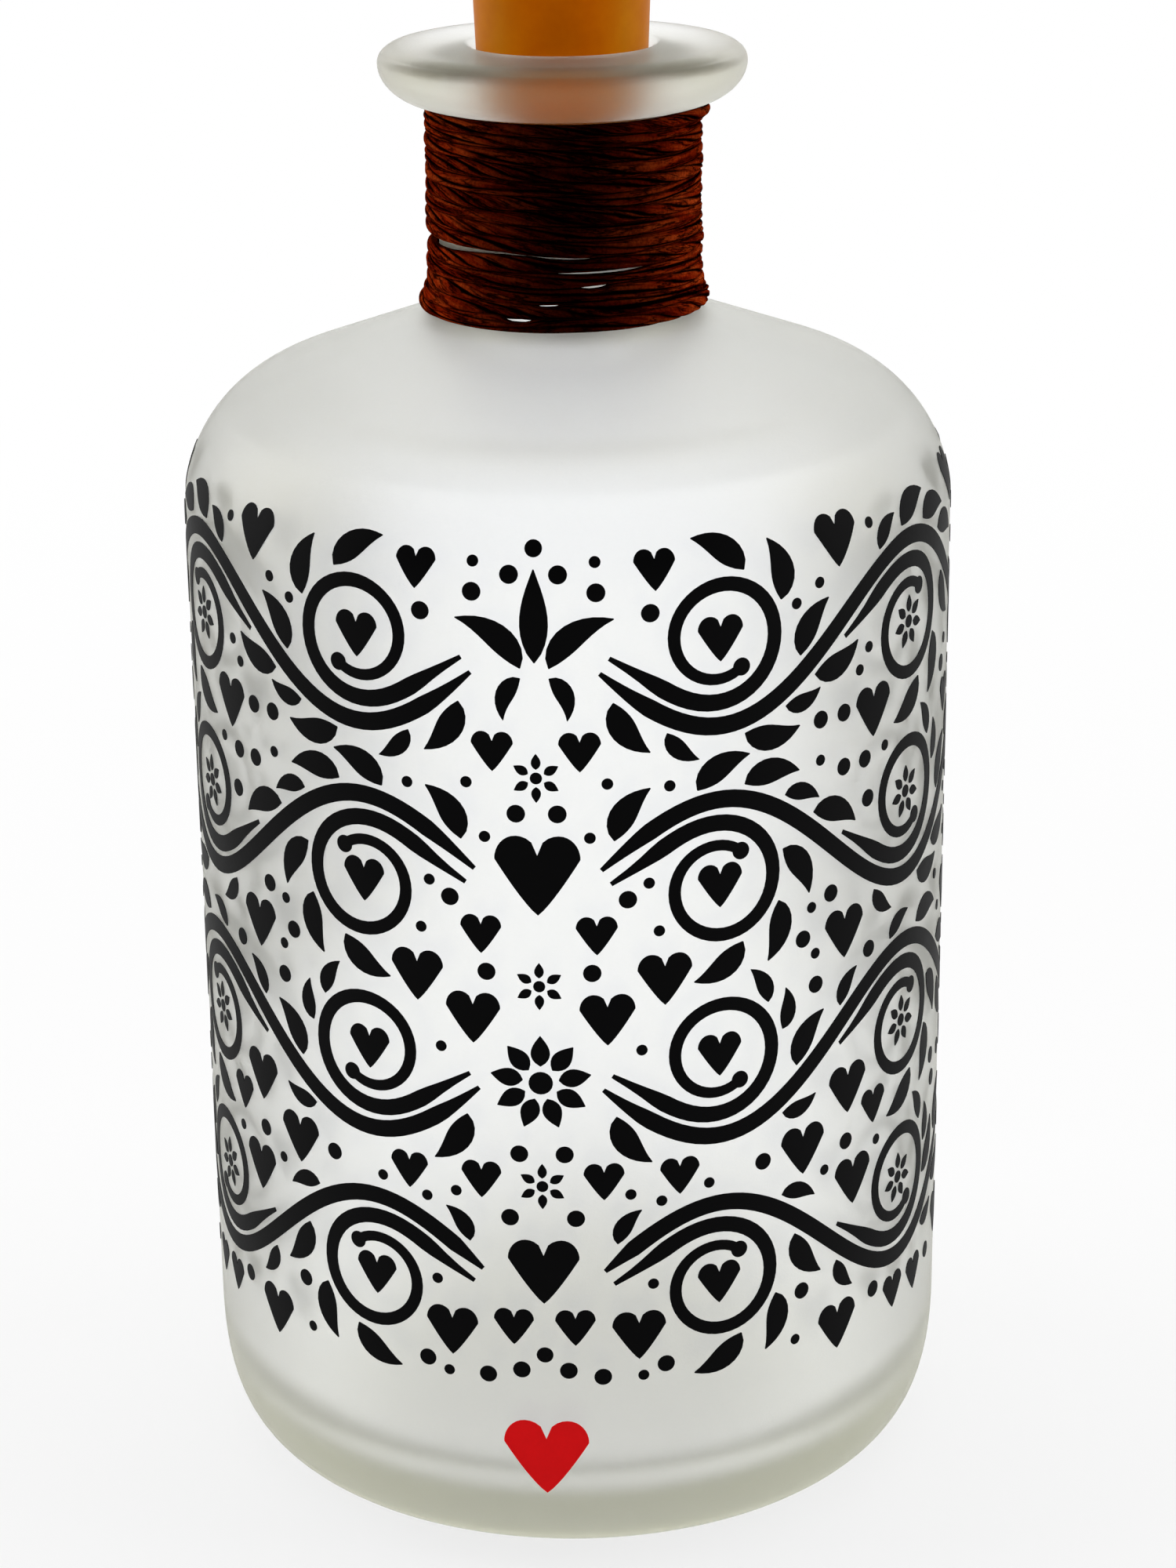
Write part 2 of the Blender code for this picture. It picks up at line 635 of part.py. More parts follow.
def button_cell(cartridge, number):
    """Steel button cell: a broad can above the smaller cap of its negative side."""
    step, edge, top = CELL_CAP_STEP, CELL_EDGE, CELL_THICKNESS
    outline = [(0.0, top), (CELL_RADIUS - edge, top), (CELL_RADIUS, top - edge)]
    outline += [(CELL_RADIUS, step), (CELL_CAP_RADIUS + edge, step), (CELL_CAP_RADIUS, 0.0), (0.0, 0.0)]
    piece = turned(f"button_cell_{number}", outline, SMALL_STEPS)
    return finish(piece, "steel", cartridge, (0, 0, CELL_Z + (number - 1) * CELL_PITCH))


def positive_contact(cartridge):
    """Leaf on top of the cells whose tail rises through the cradle's floor to the switch board."""
    middle = METAL_THICKNESS / 2
    tail = HEAD_TOP_Z - CONTACT_Z - middle
    side_view = [(-CONTACT_REACH, 0.0), (CONTACT_REACH, 0.0), (CONTACT_REACH, tail)]
    piece = bent_strip("positive_contact", side_view, CONTACT_WIDTH)
    return finish(piece, "brass", cartridge, (0, 0, CONTACT_Z + middle))


def conductor_strip(cartridge):
    """Brass strip from the switch board down the back of the cradle to the lamp board's blade."""
    foot = BOARD_Z + BOARD_THICKNESS + FIT + METAL_THICKNESS + FIT
    height = HEAD_TOP_Z - foot
    piece = block("conductor_strip", (STRIP_WIDTH, METAL_THICKNESS, height))
    return finish(piece, "brass", cartridge, (0, STRIP_Y, foot + height / 2))


def battery_cap(cartridge):
    """Cap that slips over the cradle's head, with a slot for the switch in its top."""
    base = HOUSING_RIM_Z + FIT
    top, ceiling = STOPPER_TOP_Z - base, CAP_CEILING_Z - base
    top_edge = STOPPER_TOP_ROUNDING
    top_radius = stopper_radius(STOPPER_TOP_Z - top_edge)
    chamfer = PARTING_CHAMFER
    outline = [(0.0, top)]
    outline += rounded((top_radius - top_edge, top - top_edge), (top_edge, top_edge), 90, 0, 5)
    outline += [(stopper_radius(base), chamfer), (stopper_radius(base) - chamfer, 0.0)]
    outline += [(HEAD_RADIUS + FIT, 0.0), (HEAD_RADIUS + FIT, ceiling), (0.0, ceiling)]
    piece = turned("battery_cap", outline, STOPPER_STEPS)
    slot = (KNOB_LENGTH + SWITCH_TRAVEL + 2 * FIT, KNOB_WIDTH + 2 * FIT, CAP_TOP + CUT_OVERRUN)
    cut(piece, "knob_slot", slot, (0.0, 0.0, ceiling + CAP_TOP / 2))
    return finish(piece, "cork_plastic", cartridge, (0, 0, base))


def pin_places():
    return [(offset * SWITCH_PIN_SPACING, 0.0) for offset in (-1, 0, 1)]


def pin_holes():
    length, width = SWITCH_PIN_SIZE
    return [rectangle_outline(length + 2 * FIT, width + 2 * FIT, place) for place in pin_places()]


def switch_board(cartridge):
    """Small board across the cradle's head that carries the switch."""
    outlines = [circle_outline(HEAD_RADIUS, SMALL_STEPS), *pin_holes()]
    piece = plate("switch_board", outlines, BOARD_THICKNESS)
    return finish(piece, "board", cartridge, (0, 0, SWITCH_BOARD_Z + BOARD_THICKNESS / 2))


def switch_base(cartridge):
    """Insulating base of the switch, inside the open side of its can."""
    clear = 2 * (CAN_WALL + FIT)
    edge = rectangle_outline(SWITCH_LENGTH - clear, SWITCH_WIDTH - clear)
    piece = plate("switch_base", [edge, *pin_holes()], SWITCH_BASE_THICKNESS)
    return finish(piece, "resistor", cartridge, (0, 0, SWITCH_Z + SWITCH_BASE_THICKNESS / 2))


def switch_can(cartridge):
    """Folded steel can of the switch: a box without a bottom, slotted for the knob."""
    height = CAN_TOP_Z - SWITCH_Z
    piece = block("switch_can", (SWITCH_LENGTH, SWITCH_WIDTH, height))
    shell = bmesh.new()
    shell.from_mesh(piece.data)
    bottom = [face for face in shell.faces if face.normal.z < -0.5]
    bmesh.ops.delete(shell, geom=bottom, context="FACES_ONLY")
    shell.to_mesh(piece.data)
    shell.free()
    folded = piece.modifiers.new("Folded", "SOLIDIFY")
    folded.thickness = CAN_WALL
    folded.offset = -1.0
    folded.use_even_offset = True
    slot = (KNOB_LENGTH + SWITCH_TRAVEL + 2 * FIT, KNOB_WIDTH + 2 * FIT, CAN_WALL + CUT_OVERRUN)
    cut(piece, "can_slot", slot, (0.0, 0.0, height / 2))
    return finish(piece, "steel", cartridge, (0, 0, SWITCH_Z + height / 2))


def switch_terminal(cartridge, number):
    """Flat pin of the switch, through its base and the board."""
    top = SWITCH_Z + SWITCH_BASE_THICKNESS + SWITCH_PIN_HEAD
    bottom = SWITCH_BOARD_Z - SWITCH_PIN_TAIL
    piece = block(f"switch_terminal_{number}", (*SWITCH_PIN_SIZE, top - bottom))
    x, y = pin_places()[number - 1]
    return finish(piece, "brass", cartridge, (x, y, (top + bottom) / 2))


def slider_foot_z():
    return CAN_TOP_Z - CAN_WALL - FIT - SLIDER_FOOT_THICKNESS


def switch_slider(slider):
    """Black knob on a broad foot, which slides under the top of the can."""
    knob_top = STOPPER_TOP_Z + KNOB_RISE - slider_foot_z()
    foot, knob, thick = SLIDER_FOOT_LENGTH / 2, KNOB_LENGTH / 2, SLIDER_FOOT_THICKNESS
    outline = [(-foot, 0.0), (foot, 0.0), (foot, thick), (knob, thick), (knob, knob_top - EDGE)]
    outline += [(knob - EDGE, knob_top), (EDGE - knob, knob_top), (-knob, knob_top - EDGE)]
    outline += [(-knob, thick), (-foot, thick)]
    piece = plate("switch_slider", [outline], KNOB_WIDTH)
    piece.rotation_euler.x = math.pi / 2
    return finish(piece, "black_plastic", slider, (-SWITCH_TRAVEL / 2, 0, slider_foot_z()))


def switch_contact(slider):
    """Springy bridge under the slider that joins two of the pins."""
    reach = BRIDGE_LENGTH / 2
    side_view = [(-reach, 0.0), (-reach / 2, BRIDGE_RISE), (reach / 2, BRIDGE_RISE), (reach, 0.0)]
    piece = bent_strip("switch_contact", side_view, BRIDGE_WIDTH)
    height = slider_foot_z() - FIT - METAL_THICKNESS / 2 - BRIDGE_RISE
    return finish(piece, "brass", slider, (-SWITCH_TRAVEL / 2, 0, height))


def build():
    glass_bottle()
    neck_winding()
    stopper = pivot("stopper_axis", FOOT_Z)
    for make in (stopper_housing, light_window, lamp_led, circuit_board, led_resistor):
        make(stopper)
    for make in (negative_spring, board_terminal):
        make(stopper)
    cartridge = pivot("cartridge_axis", CRADLE_FOOT_Z)
    for make in (cell_cradle, positive_contact, conductor_strip, battery_cap):
        make(cartridge)
    for number in range(1, CELL_COUNT + 1):
        button_cell(cartridge, number)
    for make in (switch_board, switch_base, switch_can):
        make(cartridge)
    for number in range(1, len(pin_places()) + 1):
        switch_terminal(cartridge, number)
    slider = pivot("slider_axis", CAN_TOP_Z)
    switch_slider(slider)
    switch_contact(slider)


clear_scene()
parts = make_collection("decorative_bottle")
cutters = make_collection("cutters")
materials = make_materials()
build()
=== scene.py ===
# %% [markdown]
# # A satin glass bottle with a cork-shaped lamp
# The bottle is blown glass, frosted on the outside only. Its neck is wound with brown twisted paper, its
# front carries cut film in black and one red heart, and its mouth is closed by a small battery lamp in the
# shape of a cork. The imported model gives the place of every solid. This script gives each surface its
# finish, and models again, with smooth outlines, the turned pieces that the frame holds as facets.

# %% The frame
import math
import random

import bpy
import numpy as np
from mathutils import Matrix, Vector


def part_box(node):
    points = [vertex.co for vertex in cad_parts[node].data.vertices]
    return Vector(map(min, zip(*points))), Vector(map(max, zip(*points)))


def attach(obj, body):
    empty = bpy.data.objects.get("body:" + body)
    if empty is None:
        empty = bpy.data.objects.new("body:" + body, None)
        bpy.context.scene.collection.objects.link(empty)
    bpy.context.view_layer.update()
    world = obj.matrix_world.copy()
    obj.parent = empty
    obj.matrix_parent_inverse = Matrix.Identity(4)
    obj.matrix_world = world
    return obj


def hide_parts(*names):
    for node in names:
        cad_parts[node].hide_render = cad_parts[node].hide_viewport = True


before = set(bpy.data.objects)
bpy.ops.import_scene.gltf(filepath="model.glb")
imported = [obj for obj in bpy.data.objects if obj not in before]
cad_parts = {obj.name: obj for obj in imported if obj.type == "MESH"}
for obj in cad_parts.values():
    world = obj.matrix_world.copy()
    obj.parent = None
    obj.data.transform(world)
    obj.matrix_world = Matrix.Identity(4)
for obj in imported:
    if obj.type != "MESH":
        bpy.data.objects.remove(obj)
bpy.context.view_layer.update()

# %% [markdown]
# All lengths are in metres. The sizes that the frame can tell, such as the height of the bottle or the
# reach of the cap, are read from the boxes of its nodes. The rest are the bottle's own sizes, named once
# here.

# %% Sizes of the bottle
MM = 0.001
BODY_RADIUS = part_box("glass_bottle")[1].x
BOTTLE_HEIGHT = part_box("glass_bottle")[1].z
WALL = 3.1 * MM
BASE_THICKNESS = 4.5 * MM
PUNT_RISE = 2.2 * MM
FOOT_RING_WIDTH = 5.0 * MM
HEEL_INSET = 11.1 * MM
HEEL_HEIGHT = 16.1 * MM
HEEL_FULLNESS_SHARE = 0.72
INNER_HEEL_RADIUS = 9.0 * MM
SHOULDER_RADIUS = 15.7 * MM
SHOULDER_SLOPE = math.radians(20.1)
NECK_RADIUS = 13.4 * MM
NECK_FILLET = 5.4 * MM
NECK_FOOT_Z = BOTTLE_HEIGHT - 24.0 * MM
NECK_INNER_ROUNDING = 2.0 * MM
LIP_RADIUS = 19.5 * MM
LIP_EDGE_REACH = 2.4 * MM
LIP_EDGE_DROP = 1.85 * MM
LIP_UNDERSIDE_DROP = 4.35 * MM
MOUTH_ROUNDING = 1.0 * MM
SEAM_STEP = 0.09 * MM
SEAM_DEGREES = 36
FIT = 0.3 * MM
STOPPER_RADIUS = 9.1 * MM
STOPPER_SLOPE = math.tan(math.radians(2.2))
MERGE_DISTANCE = 0.001 * MM
SMOOTH_ANGLE = math.radians(32)

# %% [markdown]
# An operator works on everything that is selected, and a freshly imported frame is selected all over. So
# each step starts from a clean selection with one active object, which is what `pick` gives.

# %% Helpers for selecting
def deselect_all():
    """Leaves edit mode and clears the selection."""
    if bpy.context.object and bpy.context.object.mode != "OBJECT":
        bpy.ops.object.mode_set(mode="OBJECT")
    bpy.ops.object.select_all(action="DESELECT")


def pick(piece):
    """Makes one object the only selected and active one."""
    deselect_all()
    piece.select_set(True)
    bpy.context.view_layer.objects.active = piece
    return piece


def whole_mesh(piece):
    """Opens the piece in edit mode with all of its vertices selected."""
    pick(piece)
    bpy.ops.object.mode_set(mode="EDIT")
    bpy.ops.mesh.select_mode(type="VERT")
    bpy.ops.mesh.select_all(action="SELECT")


# %% [markdown]
# Every turned piece is an outline of radius and height that is spun round the Z axis. The outline starts as
# a circle primitive, because a circle already is one closed chain of vertices. They are moved onto the
# outline, the edge that closes the chain is deleted unless the piece is a ring, and the spin makes the
# surface. Arcs and Bezier curves are all that the outlines need.

# %% Outlines and turned pieces
def arc(centre, reach, start, end, pieces):
    """Points of an arc between two angles in degrees. The reach is a radius, or a pair for an ellipse."""
    across, up = reach if isinstance(reach, tuple) else (reach, reach)
    angles = [math.radians(start + (end - start) * step / pieces) for step in range(pieces + 1)]
    return [(centre[0] + across * math.cos(a), centre[1] + up * math.sin(a)) for a in angles]


def bezier(first, first_handle, last_handle, last, pieces):
    """Points of a cubic Bezier curve in the plane."""
    points = []
    for step in range(pieces + 1):
        t = step / pieces
        weights = ((1 - t) ** 3, 3 * (1 - t) ** 2 * t, 3 * (1 - t) * t**2, t**3)
        handles = (first, first_handle, last_handle, last)
        points.append(tuple(sum(w * h[axis] for w, h in zip(weights, handles)) for axis in (0, 1)))
    return points


def turned(name, outline, steps, ring=False):
    """Spins an outline round the Z axis into a closed, smoothly shaded piece."""
    deselect_all()
    bpy.ops.mesh.primitive_circle_add(vertices=len(outline), radius=BODY_RADIUS, fill_type="NOTHING")
    piece = bpy.context.object
    piece.name = piece.data.name = name
    for vertex, (radius, height) in zip(piece.data.vertices, outline):
        vertex.co = (radius, 0.0, height)
    whole_mesh(piece)
    if not ring:
        bpy.ops.mesh.select_mode(type="EDGE")
        bpy.ops.mesh.select_all(action="DESELECT")
        bpy.ops.object.mode_set(mode="OBJECT")
        for edge in piece.data.edges:
            edge.select = set(edge.vertices) == {0, len(outline) - 1}
        bpy.ops.object.mode_set(mode="EDIT")
        bpy.ops.mesh.delete(type="EDGE")
        bpy.ops.mesh.select_mode(type="VERT")
        bpy.ops.mesh.select_all(action="SELECT")
    bpy.ops.mesh.spin(steps=steps, angle=math.tau, center=(0, 0, 0), axis=(0, 0, 1))
    bpy.ops.mesh.select_all(action="SELECT")
    bpy.ops.mesh.remove_doubles(threshold=MERGE_DISTANCE)
    bpy.ops.mesh.normals_make_consistent(inside=False)
    bpy.ops.object.mode_set(mode="OBJECT")
    bpy.ops.object.shade_smooth_by_angle(angle=SMOOTH_ANGLE)
    print(f"{name}: {len(piece.data.polygons)} faces")
    return piece


def mesh_piece(name, vertices, faces):
    """A piece made of plain vertices and faces."""
    mesh = bpy.data.meshes.new(name)
    mesh.from_pydata(vertices, [], faces)
    piece = bpy.data.objects.new(name, mesh)
    bpy.context.scene.collection.objects.link(piece)
    return piece, mesh


def cut_box(piece, low, high):
    """Cuts the box between two corners out of a piece, and applies the cut."""
    deselect_all()
    bpy.ops.mesh.primitive_cube_add(size=1, location=[(a + b) / 2 for a, b in zip(low, high)])
    cutter = bpy.context.object
    cutter.scale = [b - a for a, b in zip(low, high)]
    bpy.ops.object.transform_apply(location=True, rotation=True, scale=True)
    pick(piece)
    opening = piece.modifiers.new("Opening", "BOOLEAN")
    opening.object = cutter
    bpy.ops.object.modifier_apply(modifier=opening.name)
    bpy.data.objects.remove(cutter, do_unlink=True)
    bpy.ops.object.shade_smooth_by_angle(angle=SMOOTH_ANGLE)
    return piece


# %% [markdown]
# ## Shader groups
# An effect that several finishes share is built once as a node group and placed in each material with its
# own values. `grain` is the fine, even unevenness of a moulded or etched surface. `streaks` is a noise
# drawn out along one axis, for metal that was rolled, and for paper fibres.

# %% Tools for building materials
def new_material(name, values):
    """A material, its tree and its Principled shader, with the shader's plain values set by name."""
    material = bpy.data.materials.new(name)
    material.use_nodes = True
    shader = material.node_tree.nodes["Principled BSDF"]
    for label, value in values.items():
        shader.inputs[label].default_value = value
    return material, material.node_tree, shader


def fill(tree, socket, value):
    """Wires a socket to another one, or gives it a plain number, vector or colour."""
    if isinstance(value, bpy.types.NodeSocket):
        tree.links.new(value, socket)
    elif socket.type == "RGBA":
        socket.default_value = (*value, 1.0)
    else:
        socket.default_value = value


def add(tree, kind, *inputs, **values):
    """Adds a node. Unnamed values fill its first inputs, named ones the input or setting of that name."""
    node = tree.nodes.new(kind)
    for name, value in values.items():
        label = name.replace("_", " ").title()
        if label in node.inputs:
            fill(tree, node.inputs[label], value)
        else:
            setattr(node, name, value)
    for socket, value in zip(node.inputs, inputs):
        fill(tree, socket, value)
    return node


def ramp(tree, factor, stops):
    """A colour ramp over (position, colour) stops, in which one number stands for a grey."""
    node = add(tree, "ShaderNodeValToRGB", factor)
    elements = node.color_ramp.elements
    while len(elements) < len(stops):
        elements.new(0.5)
    for element, (position, colour) in zip(elements, stops):
        element.position = position
        element.color = (*colour, 1.0) if isinstance(colour, tuple) else (colour, colour, colour, 1.0)
    return node.outputs["Color"]


def spread(tree, value, low, high):
    """Maps a mask from 0 to 1 onto a range of values."""
    return add(tree, "ShaderNodeMapRange", value, 0.0, 1.0, low, high).outputs["Result"]


def gradient(tree, value, low, high, first, last):
    """A smooth step from a first level to a last one between two values."""
    node = add(tree, "ShaderNodeMapRange", value, low, high, first, last, interpolation_type="SMOOTHSTEP")
    return node.outputs["Result"]


def part_of(tree, vector, axis):
    """One of the three numbers of a vector."""
    return add(tree, "ShaderNodeSeparateXYZ", vector).outputs[axis]


def scaled(tree, vector, factors):
    """A vector with each of its numbers multiplied by a factor."""
    return add(tree, "ShaderNodeVectorMath", vector, factors, operation="MULTIPLY").outputs["Vector"]


def length_of(tree, vector):
    return add(tree, "ShaderNodeVectorMath", vector, operation="LENGTH").outputs["Value"]


def worked_out(tree, operation, first, second):
    """A number that comes from two others."""
    return add(tree, "ShaderNodeMath", first, second, operation=operation).outputs[0]


def blend_value(tree, factor, first, second):
    """Mixes two numbers by a factor."""
    node = tree.nodes.new("ShaderNodeMix")
    for number, value in ((0, factor), (2, first), (3, second)):
        fill(tree, node.inputs[number], value)
    return node.outputs[0]


def blend_colour(tree, factor, first, second, mode="MIX"):
    """Mixes two colours by a factor, or puts one on the other in another mode."""
    node = add(tree, "ShaderNodeMix", data_type="RGBA", blend_type=mode)
    for number, value in ((0, factor), (6, first), (7, second)):
        fill(tree, node.inputs[number], value)
    return node.outputs[2]


def surface(tree, shader, colour, roughness, height, depth):
    """Gives the shader its colour, its roughness and the relief of a height mask."""
    relief = add(tree, "ShaderNodeBump", height=height, distance=depth).outputs["Normal"]
    for label, value in (("Base Color", colour), ("Roughness", roughness), ("Normal", relief)):
        fill(tree, shader.inputs[label], value)


def new_group(name, inputs):
    """An empty shader group with a vector input, the named number inputs and one mask output."""
    group = bpy.data.node_groups.new(name, "ShaderNodeTree")
    group.interface.new_socket("Vector", in_out="INPUT", socket_type="NodeSocketVector")
    for label, value in inputs:
        socket = group.interface.new_socket(label, in_out="INPUT", socket_type="NodeSocketFloat")
        socket.default_value = value
    group.interface.new_socket("Mask", in_out="OUTPUT", socket_type="NodeSocketFloat")
    return group, group.nodes.new("NodeGroupInput"), group.nodes.new("NodeGroupOutput")


def make_grain_group():
    """Two noises, one fine and one broad, mixed into an even unevenness from 0 to 1."""
    group, start, end = new_group("grain", [("Scale", 1000.0), ("Broad Share", 0.3)])
    place, scale, share = (start.outputs[label] for label in ("Vector", "Scale", "Broad Share"))
    smaller = worked_out(group, "MULTIPLY", scale, 0.12)
    fine = add(group, "ShaderNodeTexNoise", vector=place, scale=scale, detail=3.0, roughness=0.6)
    broad = add(group, "ShaderNodeTexNoise", vector=place, scale=smaller, detail=2.0)
    mask = blend_value(group, share, fine.outputs["Fac"], broad.outputs["Fac"])
    group.links.new(mask, end.inputs["Mask"])
    return group


def make_streaks_group():
    """Noise drawn out along the first axis of its vector."""
    group, start, end = new_group("streaks", [("Scale", 1000.0), ("Stretch", 0.05)])
    place, scale, stretch = (start.outputs[label] for label in ("Vector", "Scale", "Stretch"))
    squeeze = add(group, "ShaderNodeCombineXYZ", stretch, 1.0, 1.0).outputs["Vector"]
    drawn = scaled(group, place, squeeze)
    noise = add(group, "ShaderNodeTexNoise", vector=drawn, scale=scale, detail=4.0, roughness=0.65)
    group.links.new(noise.outputs["Fac"], end.inputs["Mask"])
    return group


GRAIN = make_grain_group()
STREAKS = make_streaks_group()


def placed(tree, group, vector, **values):
    """Puts a shader group in a material and returns its mask."""
    node = tree.nodes.new("ShaderNodeGroup")
    node.node_tree = group
    tree.links.new(vector, node.inputs["Vector"])
    for label, value in values.items():
        node.inputs[label.replace("_", " ")].default_value = value
    return node.outputs["Mask"]


def object_space(tree):
    return tree.nodes.new("ShaderNodeTexCoord").outputs["Object"]


# %% [markdown]
# ## Satin glass
# Acid gives the outside of the bottle a fine matt skin, while the inside stays as blown. The skin is rough
# enough to blur what lies behind it into soft shapes, and a tiny share of the light scatters back from it
# as from white paint, which is the frost's veil. One material serves both sides: a mask on the mesh, kept
# in the attribute `inside`, makes the inner wall smoother. What the skin mirrors comes back a little warm.
# The glass itself is slightly yellow-green: it takes a little light away along every millimetre, so that
# the thick lip and the heel are darker than the thin wall. That is what the absorption volume does.

# %% Glass finish
SKIN_ROUGHNESS = 0.43
FROST_SHARE = 0.015
BLOWN_ROUGHNESS = 0.12


def make_glass():
    values = {"Transmission Weight": 1 - FROST_SHARE, "IOR": 1.5, "Specular Tint": (1.0, 0.92, 0.5, 1.0)}
    material, tree, shader = new_material("satin_glass", values)
    mask = placed(tree, GRAIN, object_space(tree), Scale=3600.0, Broad_Share=0.3)
    inside = add(tree, "ShaderNodeAttribute", attribute_name="inside").outputs["Fac"]
    tinted = ramp(tree, mask, [(0.36, (0.975, 0.98, 0.978)), (0.62, (0.998, 1.0, 1.0))])
    skin = spread(tree, mask, SKIN_ROUGHNESS - 0.06, SKIN_ROUGHNESS + 0.06)
    surface(tree, shader, tinted, blend_value(tree, inside, skin, BLOWN_ROUGHNESS), mask, 0.02 * MM)
    body = add(tree, "ShaderNodeVolumeAbsorption", color=(0.84, 0.84, 0.5), density=13.0)
    tree.links.new(body.outputs["Volume"], tree.nodes["Material Output"].inputs["Volume"])
    return material


# %% [markdown]
# ## The bottle
# One outline runs from the middle of the floor inside, up to the mouth, over the flared lip, down the neck,
# the shoulder and the body, round the heel and into the punt. The shoulder is an arc that runs into a
# shallow cone, and a fillet joins the cone to the neck. A step of a tenth of a millimetre runs round the
# lip, where the ring of the mould ended. Spun as one body, the glass has a real thickness, which is what
# makes light bend at its edges.

# %% Outline of the glass
def bore_radius(z):
    """The bore keeps the taper of the stopper."""
    return STOPPER_RADIUS + (z - BOTTLE_HEIGHT) * STOPPER_SLOPE + FIT


def shoulder_rise():
    cone_run = BODY_RADIUS - SHOULDER_RADIUS * (1 - math.sin(SHOULDER_SLOPE)) - NECK_RADIUS
    fillet_rise = NECK_FILLET * math.tan((math.pi / 2 - SHOULDER_SLOPE) / 2)
    return SHOULDER_RADIUS * math.cos(SHOULDER_SLOPE) + cone_run * math.tan(SHOULDER_SLOPE) + fillet_rise


SHOULDER_START = NECK_FOOT_Z - shoulder_rise()
FLOOR_Z = PUNT_RISE + BASE_THICKNESS
SHOULDER_CENTRE = (BODY_RADIUS - SHOULDER_RADIUS, SHOULDER_START)
LIP_CENTRE_Z = BOTTLE_HEIGHT - LIP_EDGE_DROP
SHOULDER_DEGREES = math.degrees(SHOULDER_SLOPE)


def heel_curve(pieces):
    """The rounded heel, from the straight wall down to the ring that the bottle stands on."""
    foot_radius = BODY_RADIUS - HEEL_INSET
    return bezier(
        (BODY_RADIUS, HEEL_HEIGHT),
        (BODY_RADIUS, HEEL_HEIGHT * (1 - HEEL_FULLNESS_SHARE)),
        (foot_radius + HEEL_INSET * HEEL_FULLNESS_SHARE, 0.0),
        (foot_radius, 0.0),
        pieces,
    )


def outer_wall():
    """From the top of the lip down to the middle of the punt."""
    crown = (LIP_EDGE_REACH - SEAM_STEP, LIP_EDGE_DROP - SEAM_STEP)
    edge = (LIP_EDGE_REACH, LIP_EDGE_DROP)
    edge_r = LIP_RADIUS - LIP_EDGE_REACH
    underside = (LIP_RADIUS - NECK_RADIUS, LIP_UNDERSIDE_DROP)
    fillet_centre = (NECK_RADIUS + NECK_FILLET, NECK_FOOT_Z)
    punt_radius = BODY_RADIUS - HEEL_INSET - FOOT_RING_WIDTH
    points = arc((edge_r, LIP_CENTRE_Z + SEAM_STEP), crown, 90, SEAM_DEGREES, 8)
    points += arc((edge_r, LIP_CENTRE_Z), edge, SEAM_DEGREES, 0, 6)
    points += arc((NECK_RADIUS, LIP_CENTRE_Z), underside, 0, -90, 16)[1:]
    points += arc(fillet_centre, NECK_FILLET, 180, 270 - SHOULDER_DEGREES, 12)
    points += arc(SHOULDER_CENTRE, SHOULDER_RADIUS, 90 - SHOULDER_DEGREES, 0, 24)
    points += heel_curve(20)
    points += arc((0.0, 0.0), (punt_radius, PUNT_RISE), 0, 90, 14)
    return points


def inner_wall():
    """From the middle of the floor up to the rounded edge of the mouth."""
    inside = SHOULDER_RADIUS - WALL
    across, down = math.cos(SHOULDER_SLOPE), math.sin(SHOULDER_SLOPE)
    slope = math.tan(SHOULDER_SLOPE)
    cone_r = SHOULDER_CENTRE[0] + inside * down
    cone_top = SHOULDER_START + inside * across + cone_r * slope
    corner_r = (bore_radius(0.0) + STOPPER_SLOPE * cone_top) / (1 + STOPPER_SLOPE * slope)
    corner_z = cone_top - corner_r * slope
    rounding = NECK_INNER_ROUNDING
    cone_end = (corner_r + rounding * across, corner_z - rounding * down)
    bore_start = (corner_r + rounding * STOPPER_SLOPE, corner_z + rounding)
    heel_centre = (BODY_RADIUS - WALL - INNER_HEEL_RADIUS, FLOOR_Z + INNER_HEEL_RADIUS)
    mouth_z = BOTTLE_HEIGHT - MOUTH_ROUNDING
    points = [(0.0, FLOOR_Z)]
    points += arc(heel_centre, INNER_HEEL_RADIUS, -90, 0, 14)
    points += arc(SHOULDER_CENTRE, inside, 0, 90 - SHOULDER_DEGREES, 18)
    points += bezier(cone_end, (corner_r, corner_z), (corner_r, corner_z), bore_start, 8)
    points += arc((bore_radius(mouth_z) + MOUTH_ROUNDING, mouth_z), MOUTH_ROUNDING, 180, 90, 8)
    return points


# %% [markdown]
# The inner wall is told from the outer one by its radius: a vertex that lies no further out than the inner
# outline at that height belongs to the inside, and its mask is 1.

# %% The glass body
GLASS_STEPS = 192
INSIDE_MARGIN = 0.2 * MM


def make_bottle():
    inside = inner_wall()
    piece = turned("bottle_glass", inside + outer_wall(), GLASS_STEPS)
    piece.data.materials.append(make_glass())
    heights = [z for _, z in inside]
    radii = [r for r, _ in inside]
    mask = piece.data.attributes.new("inside", "FLOAT", "POINT")
    for vertex, value in zip(piece.data.vertices, mask.data):
        x, y, z = vertex.co
        reach = np.interp(z + INSIDE_MARGIN, heights, radii) + INSIDE_MARGIN
        value.value = float(FLOOR_Z - MERGE_DISTANCE < z < LIP_CENTRE_Z and math.hypot(x, y) <= reach)
    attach(piece, "bottle")
    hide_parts("glass_bottle")
    return piece


make_bottle()
